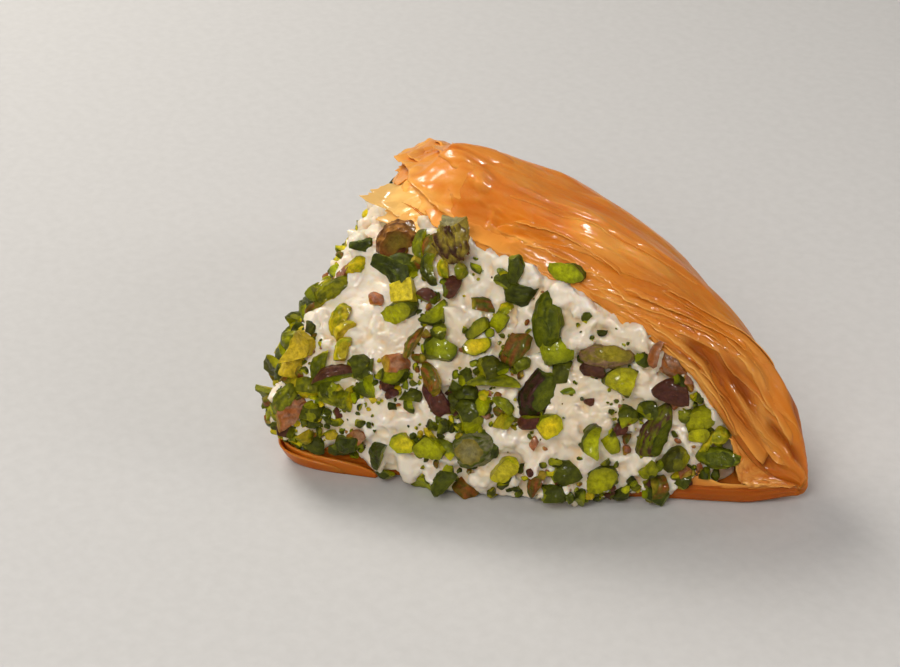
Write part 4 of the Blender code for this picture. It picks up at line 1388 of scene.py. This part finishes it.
def chip(draw, kind, colour, length, width, thick, level, vary=0.3):
    """One chopped piece of the given size, and its colours, which vary by a share of their brightness."""
    l, w, t = length / 2, width / 2, thick / 2

    def near(direction, spread=0.3):
        return np.array(direction) + draw.normal(size=3) * spread

    def hollow(most):
        return draw.uniform(0, most)

    if kind == "slice":  # cut across a kernel, with skin all around
        radii, centre = (l * 1.05, w * 1.05, 3.5 * t), np.zeros(3)
        cuts = [(near((0, 0, 1), 0.12), t, hollow(0.25)), (near((0, 0, -1), 0.12), t, 0)]
        for _ in range(draw.integers(1, 4)):
            angle = draw.uniform(0, 2 * math.pi)
            cos, sin = math.cos(angle), math.sin(angle)
            reach = math.hypot(l * cos, w * sin)
            cuts.append((near((cos, sin, 0), 0.25), reach * draw.uniform(0.45, 0.85), 0))
    elif kind == "petal":  # an outer shard, with skin on its back
        radii, centre = (l * 1.2, w * 1.3, t * 2.4), np.array((0, 0, t * 1.3))
        cuts = [(near((0, 0, -1), 0.12), t * 0.55, hollow(0.7))]
        for sign_x, sign_y in ((-1, 0.3), (1, -0.4), (0.2, 1), (-0.3, -1)):
            half = l if abs(sign_x) > 0.5 else w
            cuts.append((near((sign_x, sign_y, 0), 0.3), draw.uniform(0.7, 1.0) * half, hollow(0.25)))
    elif kind == "sliver":  # split off lengthwise
        radii, centre = (l * 1.15, w * 1.9, t * 1.6), np.array((0, w * 0.9, 0))
        cuts = [(near((0, -1, 0), 0.15), w * 0.8, hollow(0.4)), (near((0, 0, -1), 0.2), t * 0.7, hollow(0.3))]
        cuts.append((near((1, 0.3, 0), 0.5), l * draw.uniform(0.6, 0.9), 0))
    else:
        radii, centre = (l * 1.5, w * 1.5, t * 1.5), np.array((l, w, t)) * draw.uniform(0.2, 0.75, 3)
        cuts = [(near((-1, 0, 0)), l, hollow(0.3)), (near((0, -1, 0)), w, hollow(0.3))]
        cuts += [(near((0, 0, -1)), t, 0)]
        cuts += [(near((1, 0, 0), 0.5), l, 0), (near((0, 1, 0), 0.5), w, hollow(0.2))]
        cuts += [(near((0, 0, 1), 0.5), t * 1.1, 0)]
        cuts += [(draw.normal(size=3), (l + w + t) / 3 * draw.uniform(0.75, 1.0), 0) for _ in range(2)]
    if kind == "cube":
        radii, centre = (4 * l, 4 * w, 4 * t), np.zeros(3)
        cuts = [(near(way, 0.1), reach * draw.uniform(0.9, 1.05), 0.1) for way, reach in (
            ((1, 0, 0), l), ((-1, 0, 0), l), ((0, 1, 0), w),
            ((0, -1, 0), w), ((0, 0, 1), t), ((0, 0, -1), t))]
    uneven = 0.06 if kind == "cube" else 0.17
    points, faces, face_is_skin, is_skin, inside = fragment(level, radii, centre, cuts, uneven)
    seed = draw.uniform(0, 60)
    points, creases, broken = sculpt(points, is_skin, seed, 0.45 + 0.13 * length)
    bend = draw.uniform(-0.10, 0.10) * (1.6 if kind in ("sliver", "slice", "petal") else 0.3)
    twist = draw.uniform(-0.10, 0.10)
    points[:, 2] += bend * points[:, 0] ** 2 + twist * points[:, 0] * points[:, 1]
    flesh, rind, skins = COLOURS[colour]
    shift = draw.uniform(1 - vary, 1 + vary) * draw.uniform((1.42, 1.34, 1.1), (1.66, 1.50, 1.5))
    colours = paint(faces, face_is_skin, inside, creases, broken, flesh, rind, skins)
    return points, faces, np.clip(colours * shift, 0, 1)


def build_bits(surface):
    """The chopped pistachio strewn over the cream, joined by colour."""
    draw = np.random.default_rng(123)
    kinds = {name: Bits() for name in ("green", "lime", "brown", "crumbs")}
    taken = [(face_frame(x, s)[0], 0.42 * l) for _, x, s, _, l, _, _, _ in HALVES]
    home = {"lime": "lime", "yellow": "lime", "leaf": "green", "moss": "green"}
    for look, x, share, turn, length, width, thick, roll in HEROES:
        colour, kind = look.split()
        points, faces, colours = chip(draw, kind, colour, length, width, thick, 4 if length > 5.8 else 3, 0.1)
        place, side, up, out, _ = surface.find(x, share)
        placed = lay(points, place, side, up, out, turn, draw.normal() * 10, roll, thick * 0.24)
        kinds[home.get(colour, "brown")].add(placed, faces, colours)
        taken.append((place, 0.36 * length))
    _, side, up, out = face_frame(34, 0.98)
    points, faces, colours = chip(draw, "slice", "leaf", 7.0, 3.6, 2.8, 4, 0.1)
    kinds["green"].add(lay(points, LEAF_PIECE, side, up, out, 10, 0, 0, 0.6), faces, colours)
    sizes = [draw.choice(BIT_SIZES, p=BIT_SHARES) * draw.uniform(0.8, 1.2) for _ in range(BIT_TRIES)]
    where = np.array([t[0] for t in taken])
    wide = np.array([t[1] for t in taken])
    for length in sorted(sizes, reverse=True):
        for _ in range(6):
            x = draw.uniform(-47, 57)
            share = draw.uniform(0.0, 0.98) ** 1.1
            if draw.uniform() * 1.6 > thickness_of_bits(x, share):
                continue
            place, side, up, out, _ = surface.find(x, share)
            gap = np.linalg.norm(where - place, axis=1) - 0.60 * (wide + 0.40 * length)
            if gap.min() < 0:
                continue
            pale = 0.22 if x < 3 else 0.10
            colour = draw.choice(BIT_COLOURS, p=(pale, 0.17, 0.41 - pale, 0.20, 0.09, 0.08, 0.05))
            kind = draw.choice(("chunk", "slice", "sliver", "petal"), p=(0.35, 0.2, 0.2, 0.25))
            width = length * draw.uniform(0.5, 0.85)
            thick = length * draw.uniform(0.4, 0.7)
            points, faces, colours = chip(draw, kind, colour, length, width, thick, 3 if length > 2.4 else 2)
            turn, tilt, roll = draw.uniform(0, 360), draw.normal() * 34, draw.normal() * 38
            placed = lay(points, place, side, up, out, turn, tilt, roll, thick * draw.uniform(0.05, 0.5))
            kinds[home.get(colour, "brown")].add(placed, faces, colours)
            where = np.append(where, place[None], axis=0)
            wide = np.append(wide, 0.40 * length)
            break
    for _ in range(CRUMB_TRIES):
        x = draw.uniform(-46, 56)
        share = draw.uniform(0.0, 0.98)
        if draw.uniform() * 1.6 > thickness_of_bits(x, share) + 0.15:
            continue
        length = draw.uniform(0.5, 1.1) * draw.uniform(0.8, 1.5)
        place, side, up, out, _ = surface.find(x, share)
        colour = draw.choice(("yellow", "lime", "leaf", "moss", "brown"), p=(0.14, 0.30, 0.28, 0.16, 0.12))
        points, faces, colours = chip(draw, "chunk", colour, length, length * 0.7, length * 0.6, 1)
        placed = lay(points, place, side, up, out, draw.uniform(0, 360), 0, 0, 0.15)
        kinds["crumbs"].add(placed, faces, colours)
    return {name: bits.build("pistachio_" + name) for name, bits in kinds.items()}


# ---------------------------------------------------------------- materials


def new_material(name):
    made = bpy.data.materials.new(name)
    made.use_nodes = True
    return made, made.node_tree, made.node_tree.nodes["Principled BSDF"]


def feed(tree, made, inputs):
    """Links each of a node's inputs to a socket, or sets it to a value."""
    for key, value in inputs.items():
        if isinstance(value, bpy.types.NodeSocket):
            tree.links.new(value, made.inputs[key])
        else:
            made.inputs[key].default_value = value


def node(tree, kind, inputs=None, **settings):
    made = tree.nodes.new(kind)
    for key, value in settings.items():
        setattr(made, key, value)
    feed(tree, made, inputs or {})
    return made


def speckle(tree, scale, detail, roughness=0.5):
    """Soft noise that is fixed to the object."""
    place = node(tree, "ShaderNodeTexCoord").outputs["Object"]
    inputs = {"Vector": place, "Scale": scale, "Detail": detail, "Roughness": roughness}
    return node(tree, "ShaderNodeTexNoise", inputs).outputs["Fac"]


def tone_channels(tree):
    """How pale, how deep and how yellow the mesh is painted, as red, green and blue; they carry painted light
    and shade as well as its own tone.
    """
    tone = node(tree, "ShaderNodeAttribute", attribute_name="tone").outputs["Color"]
    return node(tree, "ShaderNodeSeparateColor", {"Color": tone}).outputs


def ramp(tree, value, stops):
    made = node(tree, "ShaderNodeValToRGB", {"Fac": value})
    elements = made.color_ramp.elements
    while len(elements) < len(stops):
        elements.new(0.5)
    for element, (place, colour) in zip(elements, stops):
        element.position = place
        element.color = (*colour, 1)
    return made.outputs["Color"]


def blend(tree, factor, a, b, **settings):
    """Two colours mixed, each a socket or plain red, green and blue."""
    a, b = (v if isinstance(v, bpy.types.NodeSocket) else (*v, 1) for v in (a, b))
    return node(tree, "ShaderNodeMix", {0: factor, 6: a, 7: b}, data_type="RGBA", **settings).outputs[2]


def bumps(tree, height, strength, distance):
    return node(
        tree, "ShaderNodeBump", {"Strength": strength, "Distance": distance, "Height": height}
    ).outputs[0]


def phyllo_material(name, soak):
    """Glazed phyllo. soak is how much of the light spreads inside it."""
    made, tree, shader = new_material(name)
    tone = tone_channels(tree)
    browning = [(0.30, (0.54, 0.120, 0.004)), (0.52, (0.66, 0.172, 0.007)), (0.75, (0.76, 0.245, 0.014))]
    colour = ramp(tree, speckle(tree, 75.0, 4.0), browning)
    # Pale and yellow blend in the pastry's own paler tone and painted highlight and glow; deep blends in
    # painted shade of hollows and of the mouth's inside
    colour = blend(tree, tone["Red"], colour, (0.86, 0.42, 0.085))
    colour = blend(tree, tone["Blue"], colour, (0.92, 0.60, 0.20))
    colour = blend(tree, tone["Green"], colour, (0.33, 0.068, 0.003))
    grain = speckle(tree, 260.0, 4.0)
    both = node(tree, "ShaderNodeMath", {0: grain, 1: speckle(tree, 1200.0, 2.0)}, operation="ADD")
    spread = {"Value": grain, "From Min": 0.3, "From Max": 0.7, "To Min": 0.38, "To Max": 0.55}
    feed(tree, shader, {
        "Base Color": colour,
        "Normal": bumps(tree, both.outputs[0], 0.30, 0.0003),
        "Roughness": node(tree, "ShaderNodeMapRange", spread).outputs[0],
        "Subsurface Weight": soak,
        "Subsurface Radius": (1.0, 0.45, 0.15),
        "Subsurface Scale": 0.0012,
        "Specular IOR Level": 0.06,
        "Coat Weight": 0.35,
        "Coat Roughness": 0.14,
    })
    return made


def cream_material(name):
    made, tree, shader = new_material(name)
    base = ramp(tree, speckle(tree, 60.0, 3.0), [(0.35, (0.76, 0.64, 0.46)), (0.6, (0.82, 0.73, 0.60))])
    # The hollows are blended to a warmer, darker colour: painted shade
    feed(tree, shader, {
        "Base Color": blend(tree, tone_channels(tree)["Red"], base, (0.84, 0.62, 0.36)),
        "Normal": bumps(tree, speckle(tree, 650.0, 5.0, 0.6), 0.22, 0.0004),
        "Roughness": 0.40,
        "Subsurface Weight": 0.8,
        "Subsurface Radius": (1.0, 0.72, 0.42),
        "Subsurface Scale": 0.0009,
        "Coat Weight": 0.25,
        "Coat Roughness": 0.16,
    })
    return made


def nut_material(name, roughness):
    """Flesh and skin of the kernels, in the colours painted on each piece."""
    made, tree, shader = new_material(name)
    shade = node(tree, "ShaderNodeAttribute", attribute_name="shade").outputs["Color"]
    speck = speckle(tree, 900.0, 4.0, 0.65)
    soft = ramp(tree, speck, [(0.3, (0.55, 0.55, 0.55)), (0.7, (1.35, 1.35, 1.35))])
    feed(tree, shader, {
        "Base Color": blend(tree, 1.0, shade, soft, blend_type="MULTIPLY"),
        "Normal": bumps(tree, speck, 0.6, 0.0006),
        "Roughness": roughness,
        "Specular IOR Level": 0.08,
        "Subsurface Weight": 0.35,
        "Subsurface Radius": (1.0, 1.0, 0.25),
        "Subsurface Scale": 0.0012,
        "Coat Weight": 0.16,
        "Coat Roughness": 0.10,
    })
    return made


def floor_material(name):
    made, tree, shader = new_material(name)
    pale = [(0.3, (0.50, 0.49, 0.475)), (0.7, (0.53, 0.52, 0.505))]
    feed(tree, shader, {"Base Color": ramp(tree, speckle(tree, 400.0, 3.0), pale), "Roughness": 0.7})
    return made


# ---------------------------------------------------------------- camera and light

# Where the camera stands, seen from the middle of the fold's foot
AZIMUTH = 55.0
ELEVATION = 30.0
LENS = 90.0
SENSOR = 36.0
DISTANCE = 470.7
AIM_RIGHT = -28.9
AIM_UP = 3.7
# The floor's reach and how far it lies below the pastry, and where the lights point, in metres
FLOOR_REACH = 1.6
FLOOR_GAP = 0.0001
LIGHTS_AIM = (0, 0, 0.02)


def build_camera():
    azimuth, elevation = math.radians(AZIMUTH), math.radians(ELEVATION)
    level = math.cos(elevation)
    back = Vector((math.sin(azimuth) * level, -math.cos(azimuth) * level, math.sin(elevation)))
    right = Vector((math.cos(azimuth), math.sin(azimuth), 0))
    up = back.cross(right)
    start = Vector((-ORIGIN_X, -ORIGIN_Y, 0))
    data = bpy.data.cameras.new("camera")
    data.lens = LENS
    data.sensor_width = SENSOR
    data.clip_start = 0.01
    camera = add_object("camera", data)
    camera.matrix_world = (
        Matrix.Translation((start + back * DISTANCE + right * AIM_RIGHT + up * AIM_UP) * MM)
        @ Matrix((right, up, back)).transposed().to_4x4()
    )
    bpy.context.scene.camera = camera
    return back, right


def area_light(name, place, width, height, power, colour, glossy=False):
    data = bpy.data.lights.new(name, "AREA")
    data.shape = "RECTANGLE"
    data.size = width
    data.size_y = height
    data.energy = power
    data.color = colour
    light = add_object(name, data)
    light.location = place
    light.rotation_mode = "QUATERNION"
    light.rotation_quaternion = (Vector(place) - Vector(LIGHTS_AIM)).to_track_quat("Z", "Y")
    light.visible_glossy = glossy
    light.visible_diffuse = not glossy


def build_stage(back, right):
    mesh = bpy.data.meshes.new("floor")
    corners = [(x * FLOOR_REACH, y * FLOOR_REACH, 0) for x, y in ((-1, -1), (1, -1), (1, 1), (-1, 1))]
    mesh.from_pydata(corners, [], [(0, 1, 2, 3)])
    mesh.materials.append(floor_material("floor_pale"))
    floor = add_object("floor", mesh)
    floor.location.z = -FLOOR_GAP
    flat = Vector((back.x, back.y, 0)).normalized()
    # The wide lights shade, and narrow ones beside them make the small glints in the glaze
    key = -flat * 0.40 - right * 0.36 + Vector((0, 0, 0.50))
    fill = flat * 0.50 - right * 0.16 + Vector((0, 0, 0.45))
    area_light("key", key, 0.34, 0.26, 4.95, (1.0, 0.96, 0.90))
    area_light("fill", fill, 0.45, 0.35, 3.0, (1.0, 0.97, 0.93))
    area_light("side", right * 0.55 + flat * 0.12 + Vector((0, 0, 0.32)), 0.25, 0.25, 0.9, (1.0, 0.95, 0.92))
    area_light("key_glint", key, 0.13, 0.07, 2.4, (1.0, 0.96, 0.95), glossy=True)
    side_glint = right * 0.42 + flat * 0.40 + Vector((0, 0, 0.42))
    area_light("side_glint", side_glint, 0.10, 0.06, 2.4, (1.0, 0.95, 0.92), glossy=True)
    back_glint = Vector((0, 0, 0.62)) - flat * 0.30 + right * 0.25
    area_light("back_glint", back_glint, 0.10, 0.06, 2.6, (1.0, 0.96, 0.94), glossy=True)
    area_light("fill_glint", fill, 0.12, 0.06, 1.9, (1.0, 0.96, 0.95), glossy=True)
    world = bpy.data.worlds.new("studio")
    world.use_nodes = True
    world.node_tree.nodes["Background"].inputs["Color"].default_value = (0.95, 0.96, 1.0, 1)
    world.node_tree.nodes["Background"].inputs["Strength"].default_value = 0.12
    bpy.context.scene.world = world
    bpy.context.scene.view_settings.view_transform = "Standard"


# ---------------------------------------------------------------- the whole


def dress(thing, material, slot, node_name=None):
    thing.data.materials.append(material)
    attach(thing, "root")
    if node_name:
        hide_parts(node_name)


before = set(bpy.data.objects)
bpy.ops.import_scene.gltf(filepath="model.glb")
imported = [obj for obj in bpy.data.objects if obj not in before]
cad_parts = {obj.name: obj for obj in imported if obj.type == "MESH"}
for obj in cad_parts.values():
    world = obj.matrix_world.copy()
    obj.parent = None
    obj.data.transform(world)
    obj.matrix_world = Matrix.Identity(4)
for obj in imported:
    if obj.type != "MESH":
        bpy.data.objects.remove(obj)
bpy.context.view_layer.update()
back, right = build_camera()
build_stage(back, right)

phyllo = phyllo_material("phyllo_glazed", 0.6)
thin = phyllo_material("phyllo_thin", 0.0)
skin = Skin()
dress(build_body(skin), phyllo, "phyllo_pastry", "phyllo_pastry")
dress(build_sheets(skin), thin, "phyllo_pastry")
dress(build_fan(skin), thin, "phyllo_pastry")
dress(build_rim(), phyllo, "phyllo_pastry")

cream = build_cream()
dress(cream, cream_material("cream_clotted"), "cream_filling", "cream_filling")
surface = Surface(cream)
kernel = nut_material("pistachio_kernel", 0.42)
for row in HALVES:
    dress(build_half(*row, surface), kernel, row[0], row[0])
chopped = nut_material("pistachio_chopped", 0.40)
for name, thing in build_bits(surface).items():
    dress(thing, chopped, "pistachio_half_brown" if name == "brown" else "pistachio_half_high")
